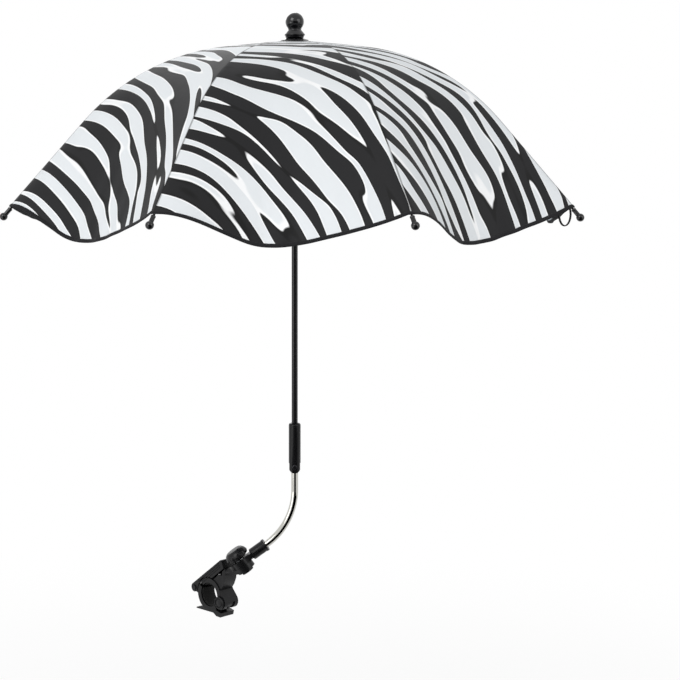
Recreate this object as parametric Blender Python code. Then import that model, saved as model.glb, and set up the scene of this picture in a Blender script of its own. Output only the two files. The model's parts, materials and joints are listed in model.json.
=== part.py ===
"""Stroller parasol: an eight-rib sun canopy on a tilting shaft, a bent tube arm
and a cam-lever clamp that grips a handlebar.

Frame: metres, +Z up. The origin is the centre of the handlebar in the clamp.
The arm and the shaft lie in a plane parallel to XZ, and +X points from the
clamp towards the shaft. Run with: blender --background --python part.py
"""

from math import acos, asin, atan2, cos, hypot, pi, radians, sin, tan

import bmesh
import bpy
from mathutils import Matrix, Vector

# Clearance between any two pieces that touch on the real object
GAP = 0.0003

# Handlebar and the clamp that grips it
BAR_DIAMETER = 0.0286
LINER_THICKNESS = 0.0015
CLAMP_WIDTH = 0.0250
CLAMP_WALL = 0.0065
CLAMP_TURN = radians(-45)
BODY_SPAN = (radians(3), radians(136))
JAW_SPAN = (radians(152), radians(310))
PIVOT_PIN_RADIUS = 0.0030
PIVOT_COVER = 0.0038
PIVOT_ANGLE = radians(-18)
LUG_RADIUS = 0.0100
KNUCKLE_RADIUS = 0.0080
KNUCKLE_WIDTH = 0.0120
PIVOT_CAP_RADIUS = 0.0086
PIVOT_CAP_THICKNESS = 0.0025
CLIP_RADIUS = 0.0055
CLIP_THICKNESS = 0.0012

# Column that rises from the clamp to the swivel ear, as (x, z) about the handlebar
COLUMN_OUTLINE = (
    (0.0235, 0.0300),
    (0.0245, 0.0362),
    (0.0305, 0.0412),
    (0.0310, 0.0320),
    (0.0300, 0.0250),
    (0.0260, 0.0160),
    (0.0200, 0.0080),
    (0.0020, 0.0195),
    (0.0100, 0.0245),
    (0.0180, 0.0310),
)
COLUMN_HALF = 0.0105

# Thick foot under the jaw, as (x, z) about the handlebar
JAW_FOOT = (
    (-0.0265, -0.0238),
    (0.0080, -0.0238),
    (0.0140, -0.0274),
    (0.0220, -0.0278),
    (0.0235, -0.0220),
    (0.0140, -0.0195),
    (0.0000, -0.0175),
    (-0.0130, -0.0185),
    (-0.0260, -0.0222),
)

# Cam lever on the free end of the jaw
LEVER_PIN_RADIUS = 0.0022
LEVER_PIN_PLACE = (-0.0305, 0.0045)
LEVER_LUG_RADIUS = 0.0058
LEVER_LUG_HALF = 0.0092
LEVER_ANGLE = radians(37)
LEVER_LENGTH = 0.0725
LEVER_WIDTH = 0.0248
LEVER_DEPTH = 0.0122
LEVER_WALL = 0.0026
CAM_NOSE_PLACE = (0.0215, -0.0010)
CAM_NOSE_WIDTH = 0.0070

# Swivel between clamp and arm: the ear centre and the arm's rise
SWIVEL_PLACE = (0.0365, -0.0340, 0.0522)
ARM_RISE = radians(36)
EAR_RADIUS = 0.0130
EAR_THICKNESS = 0.0080
EAR_CLEARANCE = 0.0012
BOLT_RADIUS = 0.0025
BOLT_HEAD_RADIUS = 0.0046
BOLT_HEAD_HEIGHT = 0.0036
BOSS_RADIUS = 0.0085
BOSS_HEIGHT = 0.0032
WASHER_RADIUS = 0.0070
WASHER_THICKNESS = 0.0010
KNOB_RADIUS = 0.0165
KNOB_HEIGHT = 0.0140
KNOB_LOBES = 12
KNOB_GROOVE_RADIUS = 0.0022
NUT_RADIUS = 0.0046
NUT_HEIGHT = 0.0040

# Arm socket and bent tube
SOCKET_RADIUS = 0.0080
SOCKET_START = 0.0175
SOCKET_END = 0.0410
SOCKET_LIP = 0.0030
SOCKET_LIP_RISE = 0.0007
TUBE_RADIUS = 0.0047
TUBE_WALL = 0.0008
TUBE_INSERTION = 0.0220
TUBE_BEND_RADIUS = 0.0920
TUBE_RISE = 0.0231
CROSS_PIN_RADIUS = 0.0012
SOCKET_PIN_PLACE = 0.0300

# Tilt joint: knuckle in the tube, fork in the housing
TONGUE_THICKNESS = 0.0042
TONGUE_WIDTH = 0.0086
KNUCKLE_PLUG_LENGTH = 0.0130
TILT_RIVET_RADIUS = 0.0018
RIVET_HEAD_RADIUS = 0.0032
RIVET_HEAD_HEIGHT = 0.0010
TILT_WASHER_THICKNESS = 0.0007
HOUSING_RADIUS = 0.0080
HOUSING_ABOVE_PIN = 0.0590
FORK_END_RADIUS = 0.0084
CHEEK_FLAT = 0.0072

# Width that the ribs, their slots and their tips share
RIB_WIDTH = 0.0024
RIB_SIDE_GAP = 0.0004

# Shaft, crown and finial
SHAFT_RADIUS = 0.0041
SHAFT_WALL = 0.0007
SHAFT_INSERTION = 0.0380
SHAFT_PIN_DEPTH = 0.0100
CANOPY_TOP = 0.7502
COVER_RADIUS = 0.0185
COVER_THICKNESS = 0.0014
CROWN_RADIUS = 0.0150
CROWN_HEIGHT = 0.0090
HINGE_RADIUS = 0.0110
HINGE_WIRE_RADIUS = 0.00055
HINGE_DEPTH = 0.0075
SLOT_WIDTH = RIB_WIDTH + 2 * RIB_SIDE_GAP
HUB_RADIUS = 0.0074
FINIAL_BALL_RADIUS = 0.0121
FINIAL_NECK_RADIUS = 0.0092
FINIAL_SKIRT_RADIUS = 0.0138
FINIAL_HEIGHT = 0.0330

# Canopy profile, shared by the cloth and the ribs beneath it
RIB_COUNT = 8
FIRST_RIB_ANGLE = radians(-24.75)
CROWN_SLOPE = radians(6.5)
EDGE_SLOPE = radians(48)
BEND_START_RADIUS = 0.0950
BEND_RADIUS = 0.2985
HEM_RADIUS = 0.3780
CLOTH_START_RADIUS = 0.0130
CLOTH_THICKNESS = 0.0012
SCALLOP_DROP = 0.0415
SCALLOP_FLARE = -0.60
HANG_START = 0.45
CLOTH_ROWS = 10
CLOTH_COLUMNS = (-1.0, -0.75, -0.5, -0.25, -0.03, 0.0, 0.03, 0.25, 0.5, 0.75, 1.0)

# Ribs, their tips and the stretchers
RIB_DEPTH = 0.0028
RIB_END = 0.0070
EYE_RADIUS = 0.0022
EYE_HOLE_RADIUS = 0.00095
EYE_THICKNESS = 0.0016
TIP_BALL_RADIUS = 0.0050
TIP_STEM_RADIUS = 0.0027
TIP_STEM_LENGTH = 0.0085
STRETCHER_RADIUS = 0.1900
BRACKET_DROP = 0.0046
BRACKET_WALL = 0.0008
BRACKET_LENGTH = 0.0090
STRETCHER_WIDTH = 0.0016
STRETCHER_DEPTH = 0.0032
FOLD_ANGLE = radians(59)

# Loop of webbing that ties the folded canopy, on the first rib
STRAP_WIDTH = 0.0050
STRAP_THICKNESS = 0.0014
STRAP_REACH = 0.0080
STRAP_DROP = 0.0150
STRAP_INSET = 0.0060

# Runner on the shaft, and the spring catch that holds it up
RUNNER_RING_RADIUS = 0.0145
RUNNER_RING_HEIGHT = 0.0070
RUNNER_SKIRT_RADIUS = 0.0064
RUNNER_SKIRT_LENGTH = 0.0560
RUNNER_FLANGE_RADIUS = 0.0120
RUNNER_FLANGE_HEIGHT = 0.0045
CATCH_LENGTH = 0.0260
CATCH_WIDTH = 0.0016
CATCH_STAND = 0.0018
CATCH_WIRE = 0.0010

ROUND_STEPS = 24
SMALL_STEPS = 12

# Sizes that follow from those above
BAR_RADIUS = BAR_DIAMETER / 2
BORE_RADIUS = BAR_RADIUS + LINER_THICKNESS + 2 * GAP
CLAMP_OUTER_RADIUS = BORE_RADIUS + CLAMP_WALL
PIVOT_REACH = BORE_RADIUS + PIVOT_COVER + PIVOT_PIN_RADIUS
PIVOT_PLACE = (PIVOT_REACH * cos(PIVOT_ANGLE), PIVOT_REACH * sin(PIVOT_ANGLE))
TUBE_BEND_START = SOCKET_END + 0.0010
TUBE_TOP = (
    SWIVEL_PLACE[2]
    + TUBE_BEND_START * sin(ARM_RISE)
    + TUBE_BEND_RADIUS * cos(ARM_RISE)
    + TUBE_RISE
)
SHAFT_X = SWIVEL_PLACE[0] + TUBE_BEND_START * cos(ARM_RISE) + TUBE_BEND_RADIUS * (1 - sin(ARM_RISE))
SHAFT_Y = SWIVEL_PLACE[1]
TILT_Z = TUBE_TOP + FORK_END_RADIUS + GAP
HOUSING_TOP = TILT_Z + HOUSING_ABOVE_PIN
SHAFT_BOTTOM = HOUSING_TOP - SHAFT_INSERTION
HINGE_Z = CANOPY_TOP - HINGE_DEPTH
STRAP_RADIUS = HEM_RADIUS - STRAP_INSET


def clear_scene():
    """Remove whatever the file opened with."""
    for obj in list(bpy.data.objects):
        bpy.data.objects.remove(obj, do_unlink=True)


def finish(name, colour, roughness, metallic=0.0):
    """A Principled material in linear colour."""
    material = bpy.data.materials.new(name)
    material.use_nodes = True
    shader = material.node_tree.nodes["Principled BSDF"]
    shader.inputs["Base Color"].default_value = (*colour, 1.0)
    shader.inputs["Roughness"].default_value = roughness
    shader.inputs["Metallic"].default_value = metallic
    material.diffuse_color = (*colour, 1.0)
    return material


def make_finishes():
    """Every finish of the parasol, by the name its pieces use."""
    return {
        "plastic": finish("black_plastic", (0.018, 0.018, 0.019), 0.42),
        "gloss": finish("gloss_black_plastic", (0.010, 0.010, 0.011), 0.15),
        "rubber": finish("black_rubber", (0.022, 0.022, 0.022), 0.85),
        "chrome": finish("polished_steel_tube", (0.62, 0.62, 0.60), 0.16, 1.0),
        "steel": finish("zinc_plated_steel", (0.50, 0.50, 0.50), 0.35, 1.0),
        "painted": finish("black_painted_steel", (0.015, 0.015, 0.016), 0.38),
        "cloth": finish("printed_canopy_cloth", (0.62, 0.64, 0.65), 0.80),
        "webbing": finish("black_webbing", (0.014, 0.014, 0.014), 0.88),
    }


def frame(name, place=(0, 0, 0), turn=None, parent=None):
    """An empty that stands on a joint or at the start of an assembly."""
    empty = bpy.data.objects.new(name, None)
    empty.empty_display_size = 0.02
    bpy.context.scene.collection.objects.link(empty)
    empty.parent = parent
    empty.location = place
    if turn is not None:
        empty.rotation_euler = turn.to_euler()
    return empty


def piece(name, mesh, material, parent, drawn_from=(0, 0, 0), smooth=True):
    """Turn a bmesh into a named object under a frame.

    drawn_from is where the frame's own origin lies in the drawing's coordinates.
    """
    bmesh.ops.translate(mesh, verts=mesh.verts, vec=-Vector(drawn_from))
    bmesh.ops.recalc_face_normals(mesh, faces=mesh.faces)
    data = bpy.data.meshes.new(name)
    mesh.to_mesh(data)
    mesh.free()
    data.materials.append(material)
    if smooth:
        data.shade_smooth()
        data.set_sharp_from_angle(angle=radians(32))
    obj = bpy.data.objects.new(name, data)
    bpy.context.scene.collection.objects.link(obj)
    obj.parent = parent
    return obj


def tool(name, mesh, parent, drawn_from=(0, 0, 0)):
    """A hidden shape that a Boolean adds or takes away."""
    bmesh.ops.translate(mesh, verts=mesh.verts, vec=-Vector(drawn_from))
    bmesh.ops.recalc_face_normals(mesh, faces=mesh.faces)
    data = bpy.data.meshes.new(name)
    mesh.to_mesh(data)
    mesh.free()
    obj = bpy.data.objects.new(name, data)
    bpy.context.scene.collection.objects.link(obj)
    obj.parent = parent
    obj.hide_render = True
    obj.display_type = "WIRE"
    return obj


def combine(target, operation, *tools):
    """Add or take away all the tools in one exact Boolean, then split its faces flat."""
    group = bpy.data.collections.new(f"{target.name}_{operation.lower()}")
    for helper in tools:
        group.objects.link(helper)
    modifier = target.modifiers.new(group.name, "BOOLEAN")
    modifier.operation = operation
    modifier.solver = "EXACT"
    modifier.operand_type = "COLLECTION"
    modifier.collection = group
    target.modifiers.new("flat_faces", "TRIANGULATE")


def arc(centre, radius, start, end, steps):
    """Points of an arc in a plane, both ends included."""
    return [
        (
            centre[0] + radius * cos(start + (end - start) * i / steps),
            centre[1] + radius * sin(start + (end - start) * i / steps),
        )
        for i in range(steps + 1)
    ]


def circle(centre, radius, steps=ROUND_STEPS, turn=0.0):
    """Points of a whole circle in a plane."""
    return arc(centre, radius, turn, turn + 2 * pi, steps)[:-1]


def hull(points):
    """Convex outline of points in a plane, anticlockwise."""
    ordered = sorted(set(points))

    def half(sequence):
        chain = []
        for p in sequence:
            while len(chain) > 1:
                a, b = chain[-2], chain[-1]
                if (b[0] - a[0]) * (p[1] - a[1]) - (b[1] - a[1]) * (p[0] - a[0]) > 0:
                    break
                chain.pop()
            chain.append(p)
        return chain[:-1]

    return half(ordered) + half(ordered[::-1])


def prism_y(outline, low, high):
    """Extrude an (x, z) outline along Y."""
    mesh = bmesh.new()
    face = mesh.faces.new([mesh.verts.new((x, low, z)) for x, z in outline])
    grown = bmesh.ops.extrude_face_region(mesh, geom=[face])
    moved = [v for v in grown["geom"] if isinstance(v, bmesh.types.BMVert)]
    bmesh.ops.translate(mesh, verts=moved, vec=(0, high - low, 0))
    return mesh


def prism_z(outline, low, high):
    """Extrude an (x, y) outline along Z."""
    mesh = bmesh.new()
    face = mesh.faces.new([mesh.verts.new((x, y, low)) for x, y in outline])
    grown = bmesh.ops.extrude_face_region(mesh, geom=[face])
    moved = [v for v in grown["geom"] if isinstance(v, bmesh.types.BMVert)]
    bmesh.ops.translate(mesh, verts=moved, vec=(0, 0, high - low))
    return mesh


def turned(profile, steps=ROUND_STEPS, closed=False):
    """Turn an (r, z) profile about Z. A point at r = 0 becomes a pole."""
    mesh = bmesh.new()
    rings = []
    for r, z in profile:
        if r == 0:
            rings.append([mesh.verts.new((0, 0, z))])
            continue
        ring = [(r * cos(2 * pi * k / steps), r * sin(2 * pi * k / steps), z) for k in range(steps)]
        rings.append([mesh.verts.new(p) for p in ring])
    pairs = list(zip(rings, rings[1:]))
    if closed:
        pairs.append((rings[-1], rings[0]))
    for first, second in pairs:
        for k in range(steps):
            following = (k + 1) % steps
            if len(first) == 1:
                mesh.faces.new((first[0], second[k], second[following]))
            elif len(second) == 1:
                mesh.faces.new((first[k], second[0], first[following]))
            else:
                mesh.faces.new((first[k], second[k], second[following], first[following]))
    return mesh


def ring(inner, outer, low, high, steps=ROUND_STEPS):
    """A washer or a plain sleeve about Z."""
    profile = [(inner, low), (outer, low), (outer, high), (inner, high)]
    return turned(profile, steps, closed=True)


def rod(radius, low, high, steps=ROUND_STEPS):
    """A plain cylinder about Z."""
    return turned([(0, low), (radius, low), (radius, high), (0, high)], steps)


def along(mesh, direction):
    """Turn a mesh drawn about Z so that its Z lies along X or Y."""
    turn = Matrix.Rotation(pi / 2, 4, "Y") if direction == "X" else Matrix.Rotation(-pi / 2, 4, "X")
    bmesh.ops.transform(mesh, matrix=turn, verts=mesh.verts)
    return mesh


def rod_y(centre, radius, low, high, steps=ROUND_STEPS):
    """A cylinder along Y through an (x, z) centre."""
    mesh = along(rod(radius, low, high, steps), "Y")
    bmesh.ops.translate(mesh, verts=mesh.verts, vec=(centre[0], 0, centre[1]))
    return mesh


def swept(path, section):
    """Carry an (offset, y) section along a path of (x, z, slope) in XZ."""
    mesh = bmesh.new()
    rings = []
    for x, z, slope in path:
        ring_points = [(x - sin(slope) * n, y, z + cos(slope) * n) for n, y in section]
        rings.append([mesh.verts.new(p) for p in ring_points])
    count = len(section)
    for first, second in zip(rings, rings[1:]):
        for k in range(count):
            following = (k + 1) % count
            mesh.faces.new((first[k], first[following], second[following], second[k]))
    mesh.faces.new(rings[0])
    mesh.faces.new(rings[-1][::-1])
    return mesh


def swept_tube(path, outer, inner, steps):
    """Carry a ring section along a path of (x, z, slope), open at both ends."""
    mesh = bmesh.new()
    loops = []
    for x, z, slope in path:
        pair = []
        for radius in (outer, inner):
            points = [(radius * cos(a), radius * sin(a)) for a in (2 * pi * k / steps for k in range(steps))]
            pair.append([mesh.verts.new((x - sin(slope) * n, y, z + cos(slope) * n)) for n, y in points])
        loops.append(pair)
    for k in range(steps):
        following = (k + 1) % steps
        for (out_a, in_a), (out_b, in_b) in zip(loops, loops[1:]):
            mesh.faces.new((out_a[k], out_a[following], out_b[following], out_b[k]))
            mesh.faces.new((in_a[following], in_a[k], in_b[k], in_b[following]))
        out_a, in_a = loops[0]
        out_b, in_b = loops[-1]
        mesh.faces.new((out_a[following], out_a[k], in_a[k], in_a[following]))
        mesh.faces.new((out_b[k], out_b[following], in_b[following], in_b[k]))
    return mesh


def sector(inner, outer, span, steps=14):
    """C-shaped outline between two radii about the handlebar."""
    return arc((0, 0), outer, *span, steps) + arc((0, 0), inner, span[1], span[0], steps)


def profile_at(radius):
    """Drop below the cloth's apex, and slope, at a radius on a rib line.

    A flat cone near the crown, an arc, then a straight cone to the hem.
    """
    bend_end = BEND_START_RADIUS + BEND_RADIUS * (sin(EDGE_SLOPE) - sin(CROWN_SLOPE))
    bend_drop = BEND_RADIUS * (cos(CROWN_SLOPE) - cos(EDGE_SLOPE))
    if radius <= BEND_START_RADIUS:
        return radius * tan(CROWN_SLOPE), CROWN_SLOPE
    start = BEND_START_RADIUS * tan(CROWN_SLOPE)
    if radius >= bend_end:
        return start + bend_drop + (radius - bend_end) * tan(EDGE_SLOPE), EDGE_SLOPE
    slope = asin(sin(CROWN_SLOPE) + (radius - BEND_START_RADIUS) / BEND_RADIUS)
    return start + BEND_RADIUS * (cos(CROWN_SLOPE) - cos(slope)), slope


def row_radius(row):
    """Radius of a cloth row, 0 at the crown and 1 at the hem."""
    return CLOTH_START_RADIUS + (HEM_RADIUS - CLOTH_START_RADIUS) * row


def rib_line(radius):
    """Point (radius, height, slope) of a rib's centre line under the cloth at this radius."""
    drop, slope = profile_at(radius)
    under = CLOTH_THICKNESS + GAP + RIB_DEPTH / 2
    return radius - under * sin(slope), CANOPY_TOP - drop - under * cos(slope), -slope


def rib_angles():
    """Plan angle of every rib, anticlockwise from above."""
    return [FIRST_RIB_ANGLE - k * 2 * pi / RIB_COUNT for k in range(RIB_COUNT)]


def stretcher_pivot():
    """Rib pivot of a stretcher as (radius, height), and its reach and fall from the hinge."""
    radius, height, slope = rib_line(STRETCHER_RADIUS)
    radius += BRACKET_DROP * sin(slope)
    height -= BRACKET_DROP * cos(slope)
    reach = hypot(radius - HINGE_RADIUS, height - HINGE_Z)
    fall = asin((HINGE_Z - height) / reach)
    return (radius, height), reach, fall


def runner_drop(fold=0.0):
    """How far the runner's pivots hang below the crown's at a fold angle.

    Rib arm and stretcher are equally long, so the triangle stays isosceles.
    """
    _, reach, fall = stretcher_pivot()
    return 2 * reach * sin(fall + fold)


def scallop(share, deepest, notch):
    """Shape of a hanging hem between two ribs, 0 at both and 1 at its lowest.

    share runs from the panel's first rib (0) to its second (1). deepest is
    where the cloth hangs lowest and notch is how far a fold lifts it. The hem
    falls gently from the first rib and steeply beside the second.
    """
    flat = CLOTH_COLUMNS[6] / 2
    share = min(1.0, max(0.0, (share - flat) / (1 - 2 * flat)))
    if share < deepest:
        lobe = sin(pi / 2 * share / deepest) ** 0.85
    else:
        lobe = cos(pi / 2 * (share - deepest) / (1 - deepest)) ** 2.0
    fold = notch * (0.5 - 0.5 * cos(4 * pi * share))
    return lobe * (1 - fold)


# Lowest place, fold and share of the full drop of each panel's hem, from the first rib on
PANEL_HEMS = (
    (0.61, 0.06, 0.98),
    (0.58, 0.05, 0.94),
    (0.66, 0.05, 1.00),
    (0.55, 0.06, 0.62),
    (0.52, 0.05, 0.60),
    (0.57, 0.04, 0.58),
    (0.54, 0.06, 0.60),
    (0.58, 0.05, 0.62),
)


def cloth_point(row, offset, rib, depth=0.0):
    """Point of the canopy in the crown's frame.

    row runs 0..1 from crown to hem, offset is the plan angle from the rib in
    its own half panels, depth goes into the cloth along its normal. The cloth
    lies straight from rib to rib, and between them it hangs lower near the hem.
    """
    half = pi / RIB_COUNT
    radius = row_radius(row)
    drop, slope = profile_at(radius)
    radius -= depth * sin(slope)
    drop += depth * cos(slope)
    radius *= cos(half) / cos(half - abs(offset))
    panel = rib if offset < 0 else rib - 1
    share = -offset / (2 * half) if offset < 0 else 1 - offset / (2 * half)
    deepest, notch, amount = PANEL_HEMS[panel % RIB_COUNT]
    start = max(0.0, (row - HANG_START) / (1 - HANG_START))
    hang = SCALLOP_DROP * amount * scallop(share, deepest, notch) * start**2.2
    radius += SCALLOP_FLARE * hang
    angle = rib_angles()[rib] + offset
    return radius * cos(angle), radius * sin(angle), -drop - hang


def canopy_panel(rib):
    """Closed thin solid of the two half panels that one rib carries."""
    mesh = bmesh.new()
    half = pi / RIB_COUNT
    last = len(CLOTH_COLUMNS) - 1
    layers = []
    for depth in (0.0, CLOTH_THICKNESS):
        grid = []
        for i in range(CLOTH_ROWS + 1):
            row = i / CLOTH_ROWS
            edge = half - GAP / row_radius(row)
            line = []
            for column in CLOTH_COLUMNS:
                line.append(mesh.verts.new(cloth_point(row, edge * column, rib, depth)))
            grid.append(line)
        layers.append(grid)
    top, bottom = layers
    for i in range(CLOTH_ROWS):
        for j in range(last):
            for a, b, c in (((0, 0), (1, 0), (1, 1)), ((0, 0), (1, 1), (0, 1))):
                corners = [(i + step[0], j + step[1]) for step in (a, b, c)]
                mesh.faces.new([top[m][n] for m, n in corners])
                mesh.faces.new([bottom[m][n] for m, n in reversed(corners)])
    rim = [(i, 0) for i in range(CLOTH_ROWS)]
    rim += [(CLOTH_ROWS, j) for j in range(last)]
    rim += [(i, last) for i in range(CLOTH_ROWS, 0, -1)]
    rim += [(0, j) for j in range(last, 0, -1)]
    for (i, j), (m, n) in zip(rim, rim[1:] + rim[:1]):
        mesh.faces.new((top[i][j], bottom[i][j], bottom[m][n], top[m][n]))
    return mesh


def arm_matrix():
    """Place of the swivel: X along the arm, Z along the bolt."""
    return Matrix.Translation(Vector(SWIVEL_PLACE)) @ Matrix.Rotation(-ARM_RISE, 4, "Y")


def build_clamp(finishes, clamp, arm):
    """Clamp body with its ear, rubber liner and hinge pin."""
    half = CLAMP_WIDTH / 2
    body = piece(
        "clamp_body",
        prism_y(sector(BAR_RADIUS, CLAMP_OUTER_RADIUS, BODY_SPAN), -half, half),
        finishes["plastic"],
        clamp,
    )
    mid = (BORE_RADIUS + CLAMP_OUTER_RADIUS) / 2
    shoulder_span = (BODY_SPAN[0] + radians(2), BODY_SPAN[0] + radians(24))
    shoulder = arc((0, 0), CLAMP_OUTER_RADIUS - 2 * GAP, *shoulder_span, 4)
    lugs = hull(circle(PIVOT_PLACE, LUG_RADIUS) + shoulder + [(mid, 2 * GAP)])
    ear_low = -EAR_THICKNESS / 2 - GAP - EAR_THICKNESS
    ear_high = -EAR_THICKNESS / 2 - GAP
    neck = bmesh.new()
    for angle_step in range(ROUND_STEPS):
        angle = 2 * pi * angle_step / ROUND_STEPS
        reach = EAR_RADIUS * 0.94
        for height in (ear_low + 2 * GAP, ear_high - EAR_THICKNESS / 5):
            spot = arm_matrix() @ Vector((reach * cos(angle), reach * sin(angle), height))
            neck.verts.new(Matrix.Rotation(-CLAMP_TURN, 4, "Z") @ spot)
    for x, z in COLUMN_OUTLINE[:4]:
        for y in (-COLUMN_HALF + GAP, COLUMN_HALF - GAP):
            neck.verts.new((x, y, z))
    bmesh.ops.convex_hull(neck, input=neck.verts)
    loose = [v for v in neck.verts if not v.link_faces]
    bmesh.ops.delete(neck, geom=loose, context="VERTS")
    combine(
        body,
        "UNION",
        tool("clamp_body_lugs", prism_y(lugs, -half + GAP, half - GAP), clamp),
        tool("clamp_body_neck", neck, clamp),
        tool("clamp_body_column", prism_y(COLUMN_OUTLINE, -COLUMN_HALF, COLUMN_HALF), clamp),
        tool("clamp_body_ear", rod(EAR_RADIUS, ear_low, ear_high), arm),
        tool("clamp_body_boss", rod(BOSS_RADIUS, ear_low - BOSS_HEIGHT, ear_high - GAP), arm),
    )
    far = 2 * CLAMP_OUTER_RADIUS
    slot = circle(PIVOT_PLACE, KNUCKLE_RADIUS + GAP)
    below = [(PIVOT_PLACE[0] - far, PIVOT_PLACE[1] - far), (PIVOT_PLACE[0] + far, PIVOT_PLACE[1] - far)]
    knuckle_space = hull(slot + [(below[0][0], PIVOT_PLACE[1] - KNUCKLE_RADIUS), below[0], below[1]])
    slot_half = KNUCKLE_WIDTH / 2 + GAP
    pocket = circle((0, 0), BOLT_HEAD_RADIUS + GAP, 6)
    pocket_top = ear_low - BOSS_HEIGHT + BOLT_HEAD_HEIGHT + GAP
    clear = SOCKET_RADIUS + SOCKET_LIP_RISE + 4 * GAP
    knob_clear = KNOB_RADIUS + 4 * GAP
    turning_disc = rod(knob_clear, ear_high, 3 * clear, 36)
    sweep_reach = SOCKET_END + 6 * GAP
    ear_clear = EAR_RADIUS + 2 * GAP
    ear_turn = acos(max(-1.0, -clear / ear_clear))
    barrel_sweep = arc((0, 0), sweep_reach, -pi / 2, pi / 2, 14)
    ear_edge = arc((0, 0), ear_clear, ear_turn, -ear_turn, 20)
    barrel_sweep += [(-clear, sweep_reach), *ear_edge, (-clear, -sweep_reach)]
    pivot_hole = rod_y(PIVOT_PLACE, PIVOT_PIN_RADIUS + GAP, -2 * half, 2 * half, SMALL_STEPS)
    combine(
        body,
        "DIFFERENCE",
        tool("clamp_turning_disc", turning_disc, arm),
        tool("clamp_barrel_sweep", prism_z(barrel_sweep, -clear, 3 * clear), arm),
        tool("clamp_bore", rod_y((0, 0), BORE_RADIUS, -2 * half, 2 * half, 36), clamp),
        tool("clamp_knuckle_slot", prism_y(knuckle_space, -slot_half, slot_half), clamp),
        tool("clamp_pivot_hole", pivot_hole, clamp),
        tool("clamp_bolt_pocket", prism_z(pocket, 3 * ear_low, pocket_top), arm),
        tool("clamp_bolt_hole", rod(BOLT_RADIUS + GAP, 2 * ear_low, 0.0, SMALL_STEPS), arm),
    )

    body_pad = (BODY_SPAN[0] + radians(16), BODY_SPAN[1] - radians(5))
    pad_radii = (BAR_RADIUS + GAP, BAR_RADIUS + GAP + LINER_THICKNESS)
    piece(
        "clamp_liner",
        prism_y(sector(*pad_radii, body_pad), -half + CLAMP_WALL / 3, half - CLAMP_WALL / 3),
        finishes["rubber"],
        clamp,
    )

    head = -half - GAP
    shank_end = half + GAP + CLIP_THICKNESS + GAP
    profile = [
        (0, head - PIVOT_CAP_THICKNESS),
        (PIVOT_CAP_RADIUS - PIVOT_CAP_THICKNESS / 2, head - PIVOT_CAP_THICKNESS),
        (PIVOT_CAP_RADIUS, head - PIVOT_CAP_THICKNESS / 2),
        (PIVOT_CAP_RADIUS, head),
        (PIVOT_PIN_RADIUS, head),
        (PIVOT_PIN_RADIUS, shank_end),
        (0, shank_end),
    ]
    pin = along(turned(profile, ROUND_STEPS), "Y")
    bmesh.ops.translate(pin, verts=pin.verts, vec=(PIVOT_PLACE[0], 0, PIVOT_PLACE[1]))
    piece("jaw_pin", pin, finishes["plastic"], clamp)
    clip = along(ring(PIVOT_PIN_RADIUS + GAP, CLIP_RADIUS, half + GAP, half + GAP + CLIP_THICKNESS), "Y")
    bmesh.ops.translate(clip, verts=clip.verts, vec=(PIVOT_PLACE[0], 0, PIVOT_PLACE[1]))
    piece("jaw_pin_clip", clip, finishes["steel"], clamp)


def build_jaw(finishes, jaw):
    """Swinging jaw with its liner, drawn about the handlebar."""
    half = CLAMP_WIDTH / 2
    origin = (PIVOT_PLACE[0], 0, PIVOT_PLACE[1])
    body = piece(
        "clamp_jaw",
        prism_y(sector(BAR_RADIUS, CLAMP_OUTER_RADIUS, JAW_SPAN, 16), -half, half),
        finishes["plastic"],
        jaw,
        origin,
    )
    last = arc((0, 0), CLAMP_OUTER_RADIUS - GAP, JAW_SPAN[1] - radians(24), JAW_SPAN[1] - radians(4), 4)
    inner = arc((0, 0), BORE_RADIUS + GAP, JAW_SPAN[1] - radians(24), JAW_SPAN[1] - radians(4), 4)
    knuckle = hull(circle(PIVOT_PLACE, KNUCKLE_RADIUS) + last + inner)
    root = arc((0, 0), CLAMP_OUTER_RADIUS - GAP, JAW_SPAN[0] + radians(3), JAW_SPAN[0] + radians(40), 6)
    root += arc((0, 0), BORE_RADIUS + CLAMP_WALL / 3, JAW_SPAN[0] + radians(3), JAW_SPAN[0] + radians(40), 6)
    lug = hull(circle(LEVER_PIN_PLACE, LEVER_LUG_RADIUS, 16) + root)
    knuckle_half = KNUCKLE_WIDTH / 2
    combine(
        body,
        "UNION",
        tool("jaw_knuckle", prism_y(knuckle, -knuckle_half, knuckle_half), jaw, origin),
        tool("jaw_foot", prism_y(JAW_FOOT, -half + GAP, half - GAP), jaw, origin),
        tool("jaw_lug", prism_y(lug, -LEVER_LUG_HALF, LEVER_LUG_HALF), jaw, origin),
    )
    pivot_hole = rod_y(PIVOT_PLACE, PIVOT_PIN_RADIUS + GAP, -2 * half, 2 * half, SMALL_STEPS)
    lever_hole = rod_y(LEVER_PIN_PLACE, LEVER_PIN_RADIUS + GAP, -2 * half, 2 * half, SMALL_STEPS)
    combine(
        body,
        "DIFFERENCE",
        tool("jaw_bore", rod_y((0, 0), BORE_RADIUS, -2 * half, 2 * half, 36), jaw, origin),
        tool("jaw_pivot_hole", pivot_hole, jaw, origin),
        tool("jaw_lever_hole", lever_hole, jaw, origin),
    )
    pad_span = (JAW_SPAN[0] + radians(4), JAW_SPAN[1] - radians(4))
    pad_radii = (BAR_RADIUS + GAP, BAR_RADIUS + GAP + LINER_THICKNESS)
    pad = prism_y(sector(*pad_radii, pad_span), -half + CLAMP_WALL / 3, half - CLAMP_WALL / 3)
    piece("jaw_liner", pad, finishes["rubber"], jaw, origin)


def lever_spot(forward, up):
    """Point (x, z) from the lever's pin, forward along the lever and up from it."""
    return (
        LEVER_PIN_PLACE[0] + forward * cos(LEVER_ANGLE) - up * sin(LEVER_ANGLE),
        LEVER_PIN_PLACE[1] + forward * sin(LEVER_ANGLE) + up * cos(LEVER_ANGLE),
    )


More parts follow.
